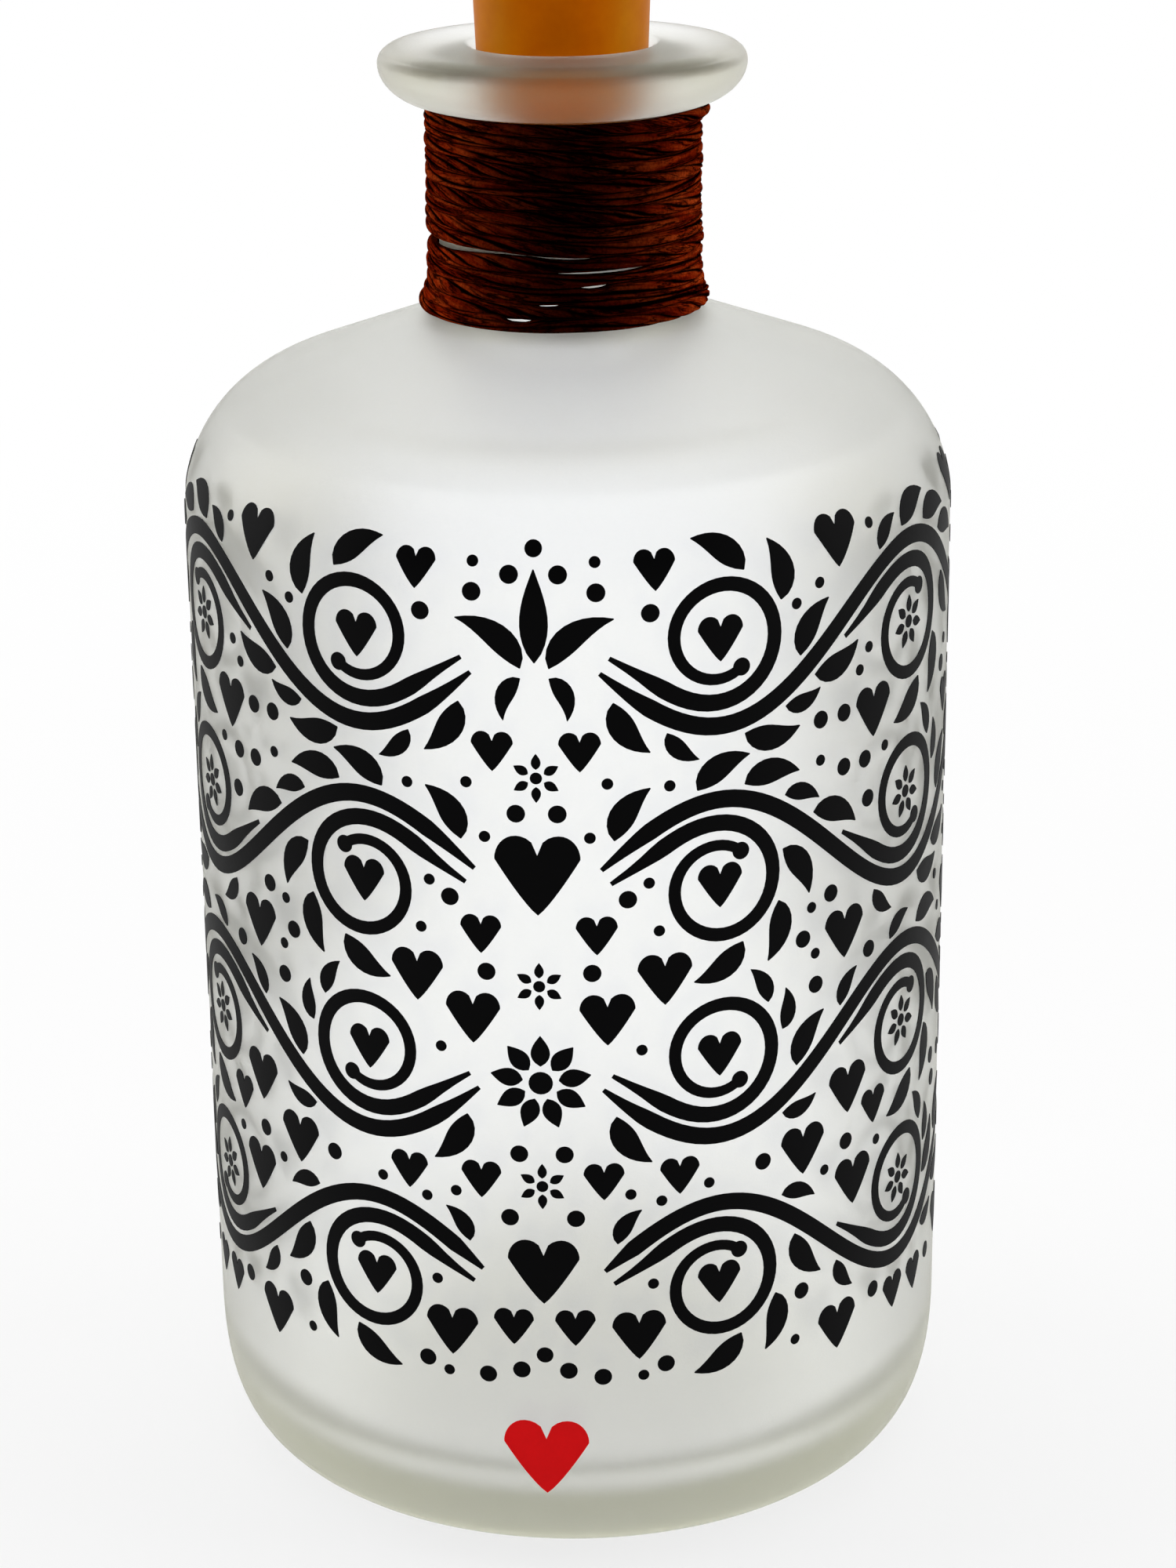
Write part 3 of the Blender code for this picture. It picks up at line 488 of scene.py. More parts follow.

# %% [markdown]
# ## The wound neck
# The cord is a strip of brown kraft paper twisted into a flat, pleated strand and wound round the neck. A
# plain tube would look like wire, so the strand is swept in code: at every step along the helix a ring of
# points is laid out, as tall as the room between the turns above and below it, pressed flat against the
# glass, and creased by sharp pleats. The pleats turn along with the twist. Their depth is kept in an
# attribute on the mesh, together with a fainter value for the upper and lower border of each turn, so that
# the material can paint shade into the pleats and between the turns. A UV map runs along the strand for the
# fibres.

# %% Route of the strand
TURNS = 13.85
STEPS_PER_TURN = 176
POINTS_AROUND = 38
START_ANGLE = math.radians(60)
STRAND_THICKNESS = 1.36 * MM
FREE_HALF_HEIGHT = 0.87 * MM
CLEAR_OF_GLASS = 0.04 * MM
LOWEST_Z = 132.15 * MM
HIGHEST_Z = 152.35 * MM
PARTED_TURN = 4.85
PARTED_ANGLE = math.radians(192)
PARTED_WIDTH = math.radians(52)
PARTED_GAP = 1.0 * MM
RISE_WANDER = 0.1 * MM
LEVEL_TURNS = (0.0, 0.7, 1.4, TURNS - 1.0, TURNS)
LEVELS = (0.0, 0.027, 0.071, 0.968, 1.0)
dice = random.Random(7)


def wander(waves, slowest, fastest):
    """A smooth random curve from -1 to 1, as a function of the turn count."""
    parts = [(dice.uniform(slowest, fastest), dice.uniform(0, math.tau)) for _ in range(waves)]
    return lambda turn: sum(np.sin(math.tau * rate * turn + at) for rate, at in parts) / waves**0.5 / 1.6


rise_wander = wander(4, 0.4, 1.3)
tall_wander = wander(6, 1.0, 5.0)
thick_wander = wander(6, 0.8, 4.0)
border_wander = wander(7, 1.5, 7.0)
twist_wander = wander(4, 0.5, 2.5)


def strand_heights(turn):
    """Height of the strand's middle: level at its first and last turn, and parted at the left."""
    height = LOWEST_Z + (HIGHEST_Z - LOWEST_Z) * np.interp(turn, LEVEL_TURNS, LEVELS)
    angle = START_ANGLE + math.tau * turn
    off = np.angle(np.exp(1j * (angle - PARTED_ANGLE)))
    lobe = np.exp(-((off / PARTED_WIDTH) ** 2))
    above = np.clip(turn - PARTED_TURN, 0.0, None)
    lift = np.where(turn > PARTED_TURN, np.exp(-above / 3.0), 0.0)
    sink = np.where(turn <= PARTED_TURN, -0.35 * np.exp((turn - PARTED_TURN) / 1.5), 0.0)
    return height + PARTED_GAP * lobe * (lift + sink) + RISE_WANDER * rise_wander(turn)


def neck_radius(z):
    """Outer radius of the glass behind the strand."""
    down = np.clip(NECK_FOOT_Z - z, 0.0, NECK_FILLET)
    return NECK_RADIUS + NECK_FILLET - np.sqrt(NECK_FILLET**2 - down**2)


# %% [markdown]
# Thin slits between the turns let the glass gleam through at a few places. Each is set by where it lies
# along the strand, how long it is and how far it opens. Where the neck widens, a turn is tucked in behind
# the one below.

# %% Sweep of the strand
GLEAMS = (
    (4.6, 0.034, 0.19 * MM),
    (3.644, 0.055, 0.26 * MM),
    (2.632, 0.014, 0.24 * MM),
    (2.397, 0.014, 0.18 * MM),
    (1.577, 0.016, 0.32 * MM),
    (0.543, 0.018, 0.62 * MM),
)
TURN_OVERLAP = 0.02 * MM
BORDER_WANDER = 0.17 * MM
TUCK_SHARE = 0.7
PLEATS = 5
PLEAT_WIDTH = 0.2
PLEAT_DEPTH = 0.34 * MM
PUFF_DEPTH = 0.03 * MM
TWIST_RATE = 2.7
TWIST_UNEVENNESS = 2.0
END_LIFT = 0.85 * MM
END_TURNS = 0.1
# Painted shade along the upper and lower border of each turn: where it starts across the strand, and how dark
# it gets.
BORDER_SHADE_START = 0.82
BORDER_SHADE_DEPTH = 0.38
STRAND_SMOOTH_ANGLE = math.radians(60)
UV_UNIT = 10 * MM


def strand_halves(count):
    """Half heights above and below the strand's middle, which fill the room up to the next turns."""
    turn = np.arange(count) / STEPS_PER_TURN
    z = strand_heights(turn)
    free = FREE_HALF_HEIGHT * (1 + 0.07 * tall_wander(turn))
    above, below = free.copy(), free.copy()
    room = (z[STEPS_PER_TURN:] - z[:-STEPS_PER_TURN]) / 2 + TURN_OVERLAP
    border = BORDER_WANDER * border_wander(turn[:-STEPS_PER_TURN])
    slit = sum(width * np.exp(-(((turn - at) / long) ** 4)) for at, long, width in GLEAMS)
    above[:-STEPS_PER_TURN] = np.minimum(above[:-STEPS_PER_TURN], room) + border
    tuck = (neck_radius(z[:-STEPS_PER_TURN]) - neck_radius(z[STEPS_PER_TURN:])) * TUCK_SHARE
    below[STEPS_PER_TURN:] = np.minimum(below[STEPS_PER_TURN:], room) - border + tuck
    return turn, z, above - slit, below


def sweep_strand():
    """Vertices, painted shade of pleats and turn borders, and texture places of the strand, ring after ring.
    """
    count = round(TURNS * STEPS_PER_TURN) + 1
    turn, z, above, below = strand_halves(count)
    turn, column = np.meshgrid(turn, np.arange(POINTS_AROUND) / POINTS_AROUND, indexing="ij")
    phase = math.tau * TWIST_RATE * turn + TWIST_UNEVENNESS * twist_wander(turn)
    around = np.angle(np.exp(1j * (math.tau * column - phase)))
    crease = np.zeros_like(turn)
    for number in range(PLEATS):
        strength = 0.55 + 0.45 * wander(5, 1.0, 6.0)(turn)
        place = math.tau * number / PLEATS + 0.5 * wander(3, 1.0, 4.0)(turn)
        off = np.angle(np.exp(1j * (math.tau * column - place)))
        crease = np.maximum(crease, np.clip(strength, 0, 1) * np.exp(-((off / PLEAT_WIDTH) ** 2)))
    thickness = STRAND_THICKNESS * (1 + 0.1 * thick_wander(turn))
    outward = np.sign(np.cos(around)) * np.abs(np.cos(around)) ** 0.75
    upward = np.sign(np.sin(around)) * np.abs(np.sin(around)) ** 0.8
    facing = np.clip(outward + 0.35, 0, 1)
    shrink = 1 - crease * facing * PLEAT_DEPTH / STRAND_THICKNESS * 2
    half = np.where(upward > 0, above[:, None], below[:, None])
    puff = PUFF_DEPTH * wander(7, 3.0, 12.0)(turn + column) * facing
    ends = np.clip((turn - (TURNS - END_TURNS)) / END_TURNS, 0, 1)
    middle = neck_radius(z)[:, None] + CLEAR_OF_GLASS + thickness / 2 + END_LIFT * ends
    radius = middle + thickness / 2 * outward * shrink + puff
    height = z[:, None] + half * upward * (1 - 0.25 * crease * facing)
    angle = START_ANGLE + math.tau * turn
    places = np.stack((radius * np.cos(angle), radius * np.sin(angle), height), axis=-1)
    along = turn * math.tau * NECK_RADIUS / UV_UNIT
    # Painted shade: the pleat depth and the border of each turn are kept for the material to darken.
    border = np.clip((np.abs(np.sin(around)) - BORDER_SHADE_START) / (1 - BORDER_SHADE_START), 0, 1) * BORDER_SHADE_DEPTH
    return places, np.maximum(crease * facing, border), along, column


def make_winding():
    places, crease, along, across = sweep_strand()
    rings, points = crease.shape
    number = np.arange(rings * points).reshape(rings, points)
    after = np.roll(number, -1, axis=1)
    quads = np.stack((number[:-1], after[:-1], after[1:], number[1:]), axis=-1).reshape(-1, 4)
    faces = quads.tolist() + [number[0][::-1].tolist(), number[-1].tolist()]
    piece, mesh = mesh_piece("paper_winding", places.reshape(-1, 3).tolist(), faces)
    # The painted shade of the pleats and of the turn borders goes into an attribute.
    depth = mesh.attributes.new("pleat_shade", "FLOAT", "POINT")
    depth.data.foreach_set("value", crease.ravel().astype(np.float32))
    corner = np.empty(len(mesh.loops), np.int32)
    mesh.loops.foreach_get("vertex_index", corner)
    u, v = along.ravel()[corner], across.ravel()[corner]
    seam = len(quads) * 4
    blocks = v[:seam].reshape(-1, 4)
    blocks += np.round(blocks[:, :1] - blocks)
    v[:seam] = blocks.ravel()
    layer = mesh.uv_layers.new(name="strand")
    layer.data.foreach_set("uv", np.stack((u, v), axis=-1).ravel().astype(np.float32))
    whole_mesh(piece)
    bpy.ops.mesh.normals_make_consistent(inside=False)
    bpy.ops.object.mode_set(mode="OBJECT")
    bpy.ops.object.shade_smooth_by_angle(angle=STRAND_SMOOTH_ANGLE)
    piece.data.materials.append(make_paper())
    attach(piece, "bottle")
    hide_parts("neck_winding")
    print(f"paper_winding: {TURNS} turns, {rings * points} points")
    return piece


# %% [markdown]
# Kraft paper that was dyed brown is brown to reddish in patches on the flat, and tan where the twist has
# rubbed its fibres. A painted shade makes it nearly black where it is folded in, and dark wrinkles of painted
# shade wander along the strand; small specks and painted shade on the borders of the turns break it up
# further. Fibres, patches and wrinkles run along the strand, so their streaks read the strand's own UV map.
# The lower turns are painted a little paler than the upper ones, as if lit by the bright shoulder. The paper
# is matt, so it has no mirror reflection. Layer Weight reads the neck's own outward direction and paints
# shade into the middle of the winding, where it faces the eye, while its flanks stay lighter as if lit from
# the side.

# %% Twisted paper
def make_paper():
    material, tree, shader = new_material("twisted_paper", {"Specular IOR Level": 0.0})
    uv = add(tree, "ShaderNodeUVMap", uv_map="strand").outputs["UV"]
    pleat_shade = add(tree, "ShaderNodeAttribute", attribute_name="pleat_shade").outputs["Fac"]
    space = object_space(tree)
    fibres = placed(tree, STREAKS, uv, Scale=26.0, Stretch=0.05)
    patches = placed(tree, STREAKS, uv, Scale=5.0, Stretch=0.22)
    wrinkle_shade = placed(tree, STREAKS, uv, Scale=4.2, Stretch=0.3)
    specks = placed(tree, GRAIN, space, Scale=3200.0, Broad_Share=0.4)
    browns = [(0.36, (0.06, 0.002, 0.0003)), (0.47, (0.2, 0.012, 0.001)), (0.62, (0.31, 0.04, 0.006))]
    rubbed = ramp(tree, fibres, [(0.56, 0.0), (0.7, (0.14, 0.06, 0.015))])
    paper = blend_colour(tree, 0.5, ramp(tree, patches, browns), rubbed, "ADD")
    # Painted light and shade: the colour is darkened in the middle of the winding, where the neck faces the
    # eye, and left lighter at its flanks, as if the side lamps lit them.
    outward = scaled(tree, space, (1.0, 1.0, 0.0))
    unit = add(tree, "ShaderNodeVectorMath", outward, operation="NORMALIZE").outputs["Vector"]
    facing = add(tree, "ShaderNodeLayerWeight", normal=unit).outputs["Facing"]
    shades = (
        ramp(tree, specks, [(0.4, (0.42, 0.36, 0.36)), (0.6, 1.0)]),
        # Painted shade: thin dark lines where the paper wrinkles.
        ramp(tree, wrinkle_shade, [(0.455, 1.0), (0.5, (0.03, 0.01, 0.01)), (0.545, 1.0)]),
        # Painted shade in the pleats and along the borders of the turns.
        ramp(tree, pleat_shade, [(0.1, 1.0), (0.45, (0.02, 0.01, 0.01))]),
        # Painted shade in the middle of the winding, painted light at its flanks.
        ramp(tree, facing, [(0.02, (0.12, 0.1, 0.1)), (0.5, 1.0)]),
        # Painted light: the lower turns are paler, as if lit by the bright shoulder below them.
        gradient(tree, part_of(tree, space, "Z"), LOWEST_Z, HIGHEST_Z, 1.28, 1.0),
    )
    for shade in shades:
        paper = blend_colour(tree, 1.0, paper, shade, "MULTIPLY")
    surface(tree, shader, paper, spread(tree, fibres, 0.5, 0.8), fibres, 0.09 * MM)
    return material


make_winding()

# %% [markdown]
# ## Film on the glass
# The decoration is cut from self-adhesive film. It is modelled as it is made: each motif is cut flat, out
# of strips between two edges, then the film gets its thickness, and last the whole sheet is rolled onto the
# glass. The motifs are those of folk ornament: four friezes of curling vines, with hearts and daisies in
# their curls, leaves along them and small hearts and dots strewn in the spaces. They mirror each other
# about the middle of the front. Every motif keeps a small gap to the next one, as stencils do.

# %% Rolling film onto the glass
FILM_THICKNESS = 0.07 * MM
FILM_LIFT = 0.025 * MM
SLOPE_STEP = 0.05 * MM
LONGEST_STEP = 1.1
heel_points = np.array(heel_curve(60))
heel_lengths = np.concatenate(([0.0], np.cumsum(np.hypot(*np.diff(heel_points, axis=0).T))))


def wall_point(up):
    """Radius and height of the outer wall at a distance measured up along it."""
    if up > SHOULDER_START:
        turn = (up - SHOULDER_START) / SHOULDER_RADIUS
        centre_r, centre_z = SHOULDER_CENTRE
        return centre_r + SHOULDER_RADIUS * math.cos(turn), centre_z + SHOULDER_RADIUS * math.sin(turn)
    if up < HEEL_HEIGHT:
        down = HEEL_HEIGHT - up
        return tuple(np.interp(down, heel_lengths, heel_points[:, axis]) for axis in (0, 1))
    return BODY_RADIUS, up


def on_glass(along, up, lift):
    """Place of a film point: along is the arc from the front's middle, and lift its height over the glass."""
    radius, z = wall_point(up)
    below, above = wall_point(up - SLOPE_STEP), wall_point(up + SLOPE_STEP)
    tangent = Vector((above[0] - below[0], above[1] - below[1])).normalized()
    radius, z = radius + tangent.y * lift, z - tangent.x * lift
    angle = along / BODY_RADIUS
    return radius * math.sin(angle), -radius * math.cos(angle), z


# %% [markdown]
# A motif is a strip: a row of cross lines, each from its left edge to its right edge. Vines, leaves and
# curls are strips along their middle line, with a width that swells and tapers. Hearts and dots are strips
# as well, with cross lines that stand upright from edge to edge, so that every motif bends cleanly round
# the bottle. Distances in the drawing are in millimetres, along the glass from the middle of the front and
# up from the foot.

# %% Cut motifs
def ribbon(middle, widths):
    """Strip along a middle line, as pairs of edge points."""
    middle = np.array(middle)
    ahead = np.gradient(middle, axis=0)
    ahead /= np.linalg.norm(ahead, axis=1, keepdims=True)
    side = np.stack((-ahead[:, 1], ahead[:, 0]), axis=1) * np.array(widths)[:, None] / 2
    return np.stack((middle + side, middle - side), axis=1)


def leaf(foot, degrees, length, width, bend=0.0):
    """Leaf with a round belly and a point, whose tip bends to one side."""
    share = np.linspace(0, 1, 11)
    turn = math.radians(degrees) + bend * share
    reach = length * share
    middle = np.stack((foot[0] + reach * np.cos(turn), foot[1] + reach * np.sin(turn)), axis=1)
    return ribbon(middle, width * np.maximum(np.sin(np.pi * share**0.8) ** 0.9, 0.04))


def upright(across, top, foot, centre):
    """Strip of upright cross lines between a top and a foot outline."""
    pairs = np.stack((np.stack((across, foot), axis=1), np.stack((across, top), axis=1)), axis=1)
    return pairs + np.array(centre)


def heart(centre, width):
    """Plain heart: two round lobes over a point, about its middle."""
    half = width / 2
    share = np.sin(np.linspace(-np.pi / 2, np.pi / 2, 25)) * 0.997
    lobe = np.sqrt(np.maximum(1 - (2 * np.abs(share) - 1) ** 2, 0))
    dip = np.where(np.abs(share) < 0.5, 0.46 + 0.48 * lobe, 0.36 + 0.58 * lobe)
    sides = 0.36 * np.abs(share) ** 1.3 - 1.02 * (1 - np.abs(share) ** 1.15)
    return upright(half * share, half * np.maximum(dip, sides + 0.01), half * sides, centre)


def dot(centre, radius):
    turn = np.linspace(0.12, np.pi - 0.12, 11)
    return upright(-radius * np.cos(turn), radius * np.sin(turn), -radius * np.sin(turn), centre)


def daisy(centre, radius, petals):
    """Round flower: petals that stand clear of a dot."""
    shapes = [dot(centre, radius * 0.24)]
    for number in range(petals):
        turn = math.tau * number / petals + math.pi / 2
        foot = (centre[0] + radius * 0.36 * math.cos(turn), centre[1] + radius * 0.36 * math.sin(turn))
        shapes.append(leaf(foot, math.degrees(turn), radius * 0.64, radius * 0.38))
    return shapes


def palmette(centre, size):
    """Upright flower on the middle line: a tall petal, two that lean outward, and two drooping leaves."""
    middle = leaf((centre[0], centre[1] - 0.3 * size), 90, size, 0.3 * size)
    petal = leaf((centre[0] + 0.15 * size, centre[1] - 0.36 * size), 72, 0.86 * size, 0.28 * size, -0.6)
    droop = leaf((centre[0] + 0.15 * size, centre[1] - 0.47 * size), -28, 0.5 * size, 0.2 * size, -0.7)
    return [middle, petal, mirrored(petal), droop, mirrored(droop)]


def mirrored(shape):
    return shape[:, ::-1] * np.array((-1.0, 1.0))


# %% [markdown]
# A frieze is a wave. In each of its bends sits a curl that parts from the vine, winds in, and holds a heart
# or a daisy. Two neighbouring friezes start with opposite bends, so that they fit into each other.

# %% Vines and curls
WAVE_LENGTH = 54.0
WAVE_RISE = 7.4
FIRST_BEND = 19.0
VINE_WIDTH = 1.9
VINE_START = 6.5
CURL_RADIUS = 7.3
CURL_TURNS = 1.33
FRIEZES = (
    # height, first bend (1 down, -1 up), reach
    (104.0, 1, 96.0),
    (81.3, -1, 96.0),
    (58.6, 1, 90.0),
    (35.9, -1, 64.0),
)


def vine_height(row, across):
    height, bend, _ = row
    return height - bend * WAVE_RISE * np.cos(math.tau * (across - FIRST_BEND) / WAVE_LENGTH)


def vine(row):
    """The wave, which swells out of a point beside the middle and runs out into a point at its end."""
    across = np.arange(VINE_START, row[2], 1.0)
    share = (across - across[0]) / (across[-1] - across[0])
    widths = VINE_WIDTH * np.minimum(1, np.minimum(0.25 + 14 * share, 0.12 + 9 * (1 - share)))
    return ribbon(np.stack((across, vine_height(row, across)), axis=1), widths)


def curl(row, number):
    """A curl in one bend of the vine, and the centre that it winds round."""
    across = FIRST_BEND + number * WAVE_LENGTH / 2
    side = row[1] * (-1) ** number
    centre = np.array((across, vine_height(row, across) + side * (CURL_RADIUS + VINE_WIDTH + 0.1)))
    share = np.linspace(0, 1, 60)
    turn = math.radians(186) + math.tau * CURL_TURNS * share
    reach = CURL_RADIUS * (1 - 0.44 * share) + 4.3 * np.exp(-share * math.tau * CURL_TURNS / 0.3)
    middle = centre + np.stack((reach * np.cos(turn), side * reach * np.sin(turn)), axis=1)
    widths = VINE_WIDTH * np.minimum(0.25 + 12 * share, 1 - 0.42 * share)
    return [ribbon(middle, widths), dot(middle[-1], VINE_WIDTH * 0.5)], centre


# %% [markdown]
# Leaves, small hearts and dots go only where there is room. A raster of the drawing keeps which of its
# cells are cut already, and a motif is laid down only if the cells within a gap of it are free, which is
# how one would shuffle paper cut-outs until none touches. The draws are seeded, so the pattern is the same
# each time.

# %% Room between motifs
CUT_GAP = 0.6
CELL = 0.25
SHEET_MARGIN = 12.0
CELLS_ACROSS = 520
CELLS_UP = 600
cut_cells = np.zeros((CELLS_ACROSS, CELLS_UP), bool)
scatter = random.Random(12)


def cells_near(shape, gap):
    """Raster cells of points spread over a motif, or of all that lies within a gap of them."""
    shares = np.linspace(0, 1, 5)[:, None, None]
    points = (shape[None, :, 0] * (1 - shares) + shape[None, :, 1] * shares).reshape(-1, 2)
    reach = np.arange(-gap, gap + CELL / 2, CELL)
    disc = np.array([(x, y) for x in reach for y in reach if math.hypot(x, y) <= gap])
    spots = (points[:, None] + disc[None] + SHEET_MARGIN) / CELL
    return tuple(np.round(spots).astype(int).reshape(-1, 2).T)


def lay_down(shape):
    cut_cells[cells_near(shape, 0.0)] = True


def has_room(shape, gap):
    return not cut_cells[cells_near(shape, gap)].any()


def leaves_along(middle, size, spacing):
    """Leaves on both sides of a vine, as (foot, direction, hand) choices."""
    lengths = np.concatenate(([0.0], np.cumsum(np.linalg.norm(np.diff(middle, axis=0), axis=1))))
    choices = []
    for number, at in enumerate(np.arange(3.0, lengths[-1], spacing)):
        place = np.array([np.interp(at, lengths, middle[:, axis]) for axis in (0, 1)])
        after = np.array([np.interp(at + 0.4, lengths, middle[:, axis]) for axis in (0, 1)])
        heading = math.degrees(math.atan2(after[1] - place[1], after[0] - place[0]))
        for hand in ((1, -1) if number % 2 else (-1, 1)):
            away = math.radians(heading + 90 * hand)
            foot = place + np.array((math.cos(away), math.sin(away))) * (VINE_WIDTH / 2 + CUT_GAP)
            choices.append(leaf(foot, heading + 46 * hand, size, size * 0.42, -0.5 * hand))
    return choices


# %% The drawing
def draw_friezes():
    """All motifs of the right half by kind."""
    shapes = {"vines": [], "leaves": [], "hearts": [], "daisies": []}
    lines = []
    for row in FRIEZES:
        shapes["vines"].append(vine(row))
        lines.append(shapes["vines"][-1].mean(1))
        for number in range(round((row[2] - FIRST_BEND) / WAVE_LENGTH * 2)):
            strips, centre = curl(row, number)
            shapes["vines"] += strips
            lines.append(strips[0].mean(1)[6:34])
            if number % 2:
                shapes["daisies"] += daisy(centre, 2.9, 7)
            else:
                shapes["hearts"].append(heart(centre, 4.9))
    return shapes, lines


def middle_motifs():
    """Motifs on the middle line, which are their own mirror images."""
    heights = [row[0] for row in FRIEZES]
    hearts = [heart((0.0, heights[1] + 0.5), 8.8), heart((0.0, heights[3] + 1.0), 7.6)]
    daisies = palmette((0.0, heights[0] + 3.2), 9.6) + daisy((0.0, heights[2]), 5.3, 9)
    for upper, lower in zip(heights, heights[1:]):
        daisies += daisy((0.0, (upper + lower) / 2 - 0.5), 2.6, 6)
    hearts += [dot((0.0, heights[0] + 12.0), 0.9), dot((0.0, heights[3] - 9.0), 0.9)]
    return {"vines": [], "leaves": [], "hearts": hearts, "daisies": daisies}


STREWN = (
    # motif, size, gap, tries
    (heart, 5.8, 1.0, 900),
    (heart, 4.3, 1.0, 900),
    (dot, 0.95, 1.1, 1500),
    (dot, 0.6, 1.0, 1200),
)


def fill_spaces(shapes, lines, middle):
    """Adds leaves along the vines, and strews hearts and dots in what is left."""
    for kind in (shapes, middle):
        for group in kind.values():
            for shape in group:
                lay_down(shape)

    def try_to_add(shape, kind, gap):
        if shape[:, :, 0].min() > CUT_GAP and has_room(shape, gap):
            shapes[kind].append(shape)
            lay_down(shape)

    for size, spacing in ((6.6, 4.6), (4.6, 3.1)):
        for line in lines:
            for choice in leaves_along(line, size, spacing):
                try_to_add(choice, "leaves", CUT_GAP)
    top, foot = FRIEZES[0][0] + 11.0, FRIEZES[-1][0] - 12.0
    for make, size, gap, tries in STREWN:
        for _ in range(tries):
            place = (scatter.uniform(2.0, FRIEZES[0][2] + 2.0), scatter.uniform(foot, top))
            if place[1] > FRIEZES[-1][0] + 10.0 or place[0] < FRIEZES[-1][2]:
                try_to_add(make(place, size), "hearts", gap)
    return shapes


# %% [markdown]
# One flat mesh holds all shapes of a kind. Long cross lines are divided, so that they can follow the curve
# of the heel and the shoulder. `bpy.ops` thickens the mesh with Solidify, and then every vertex goes to its
# place on the glass. The film's face points away from the bottle because the flat sheet faces -Y.

# %% Vinyl film
def film_material(name, colour, gloss):
    """Calendered film: an even colour with a faint orange peel and a satin gloss."""
    material, tree, shader = new_material(name, {"Specular IOR Level": 0.04})
    mask = placed(tree, GRAIN, object_space(tree), Scale=1800.0, Broad_Share=0.6)
    lighter = tuple(part * 1.25 + 0.001 for part in colour)
    base = blend_colour(tree, mask, colour, lighter)
    surface(tree, shader, base, spread(tree, mask, gloss - 0.06, gloss + 0.08), mask, 0.01 * MM)
    return material


BLACK_FILM = film_material("black_film", (0.0008, 0.0008, 0.001), 0.5)
RED_FILM = film_material("red_film", (0.86, 0.006, 0.008), 0.4)


def make_film(name, shapes, material):
    vertices, faces = [], []
    for shape in shapes:
        first = len(vertices)
        longest = np.linalg.norm(shape[:, 0] - shape[:, 1], axis=1).max()
        pieces = math.ceil(longest / LONGEST_STEP)
        shares = np.linspace(0, 1, pieces + 1)[None, :, None]
        points = (shape[:, None, 0] * (1 - shares) + shape[:, None, 1] * shares) * MM
        vertices += [(x, 0.0, z) for x, z in points.reshape(-1, 2).tolist()]
        for step in range(len(shape) - 1):
            for piece in range(pieces):
                a = first + step * (pieces + 1) + piece
                b = a + pieces + 1
                faces.append((a, a + 1, b + 1, b))
    piece, mesh = mesh_piece(name, vertices, faces)
    for face in mesh.polygons:
        if face.normal.y > 0:
            face.flip()
    pick(piece)
    thick = piece.modifiers.new("Film", "SOLIDIFY")
    thick.thickness = FILM_THICKNESS
    thick.offset = 1.0
    bpy.ops.object.modifier_apply(modifier=thick.name)
    for vertex in mesh.vertices:
        along, inward, up = vertex.co
        vertex.co = on_glass(along, up, FILM_LIFT - inward)
    bpy.ops.object.shade_smooth_by_angle(angle=SMOOTH_ANGLE)
    piece.data.materials.append(material)
    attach(piece, "bottle")
    print(f"{name}: {len(shapes)} shapes, {len(mesh.polygons)} faces")
    return piece


# %% The decoration
def make_decoration():
    middle = middle_motifs()
    right = fill_spaces(*draw_friezes(), middle)
    films = []
    for kind in right:
        shapes = right[kind] + [mirrored(shape) for shape in right[kind]] + middle[kind]
        film = make_film(f"film_{kind}", shapes, BLACK_FILM)
        films.append(film)
    films.append(make_film("film_red_heart", [heart((0.0, 14.6), 9.2)], RED_FILM))
    return films


make_decoration()

# %% [markdown]
# ## Plastics of the stopper
# The cork-shaped lamp is moulded from orange-brown plastic with a soft sheen. A broad mottle keeps its
# colour from being flat, and a fine grain from the mould breaks up the sheen. A painted tint of side light
# makes it redder where it faces the eye and more golden at its flanks, and it has next to no mirror
# reflection. The black and the clear plastic of the inner pieces are made the same way, without that
# painted tint.

# %% Plastic finishes
def plastic(name, colours, roughness, grain_scale, depth, values=None, painted_flank_light=None):
    """Moulded plastic. A painted tint of side light can run from where the surface faces the eye to its
    flanks.
    """
    material, tree, shader = new_material(name, values or {})
    space = object_space(tree)
    mottle = placed(tree, GRAIN, space, Scale=240.0, Broad_Share=0.55)
    mould = placed(tree, GRAIN, space, Scale=grain_scale, Broad_Share=0.2)
    base = ramp(tree, mottle, [(0.34, colours[0]), (0.66, colours[1])])
    if painted_flank_light:
        # Painted light: a tint that follows the angle to the eye, golden at the flanks as if the side lamps
        # lit them.
        facing = add(tree, "ShaderNodeLayerWeight").outputs["Facing"]
        base = blend_colour(tree, 1.0, base, ramp(tree, facing, painted_flank_light), "MULTIPLY")
    surface(tree, shader, base, spread(tree, mould, roughness - 0.07, roughness + 0.07), mould, depth)
    return material


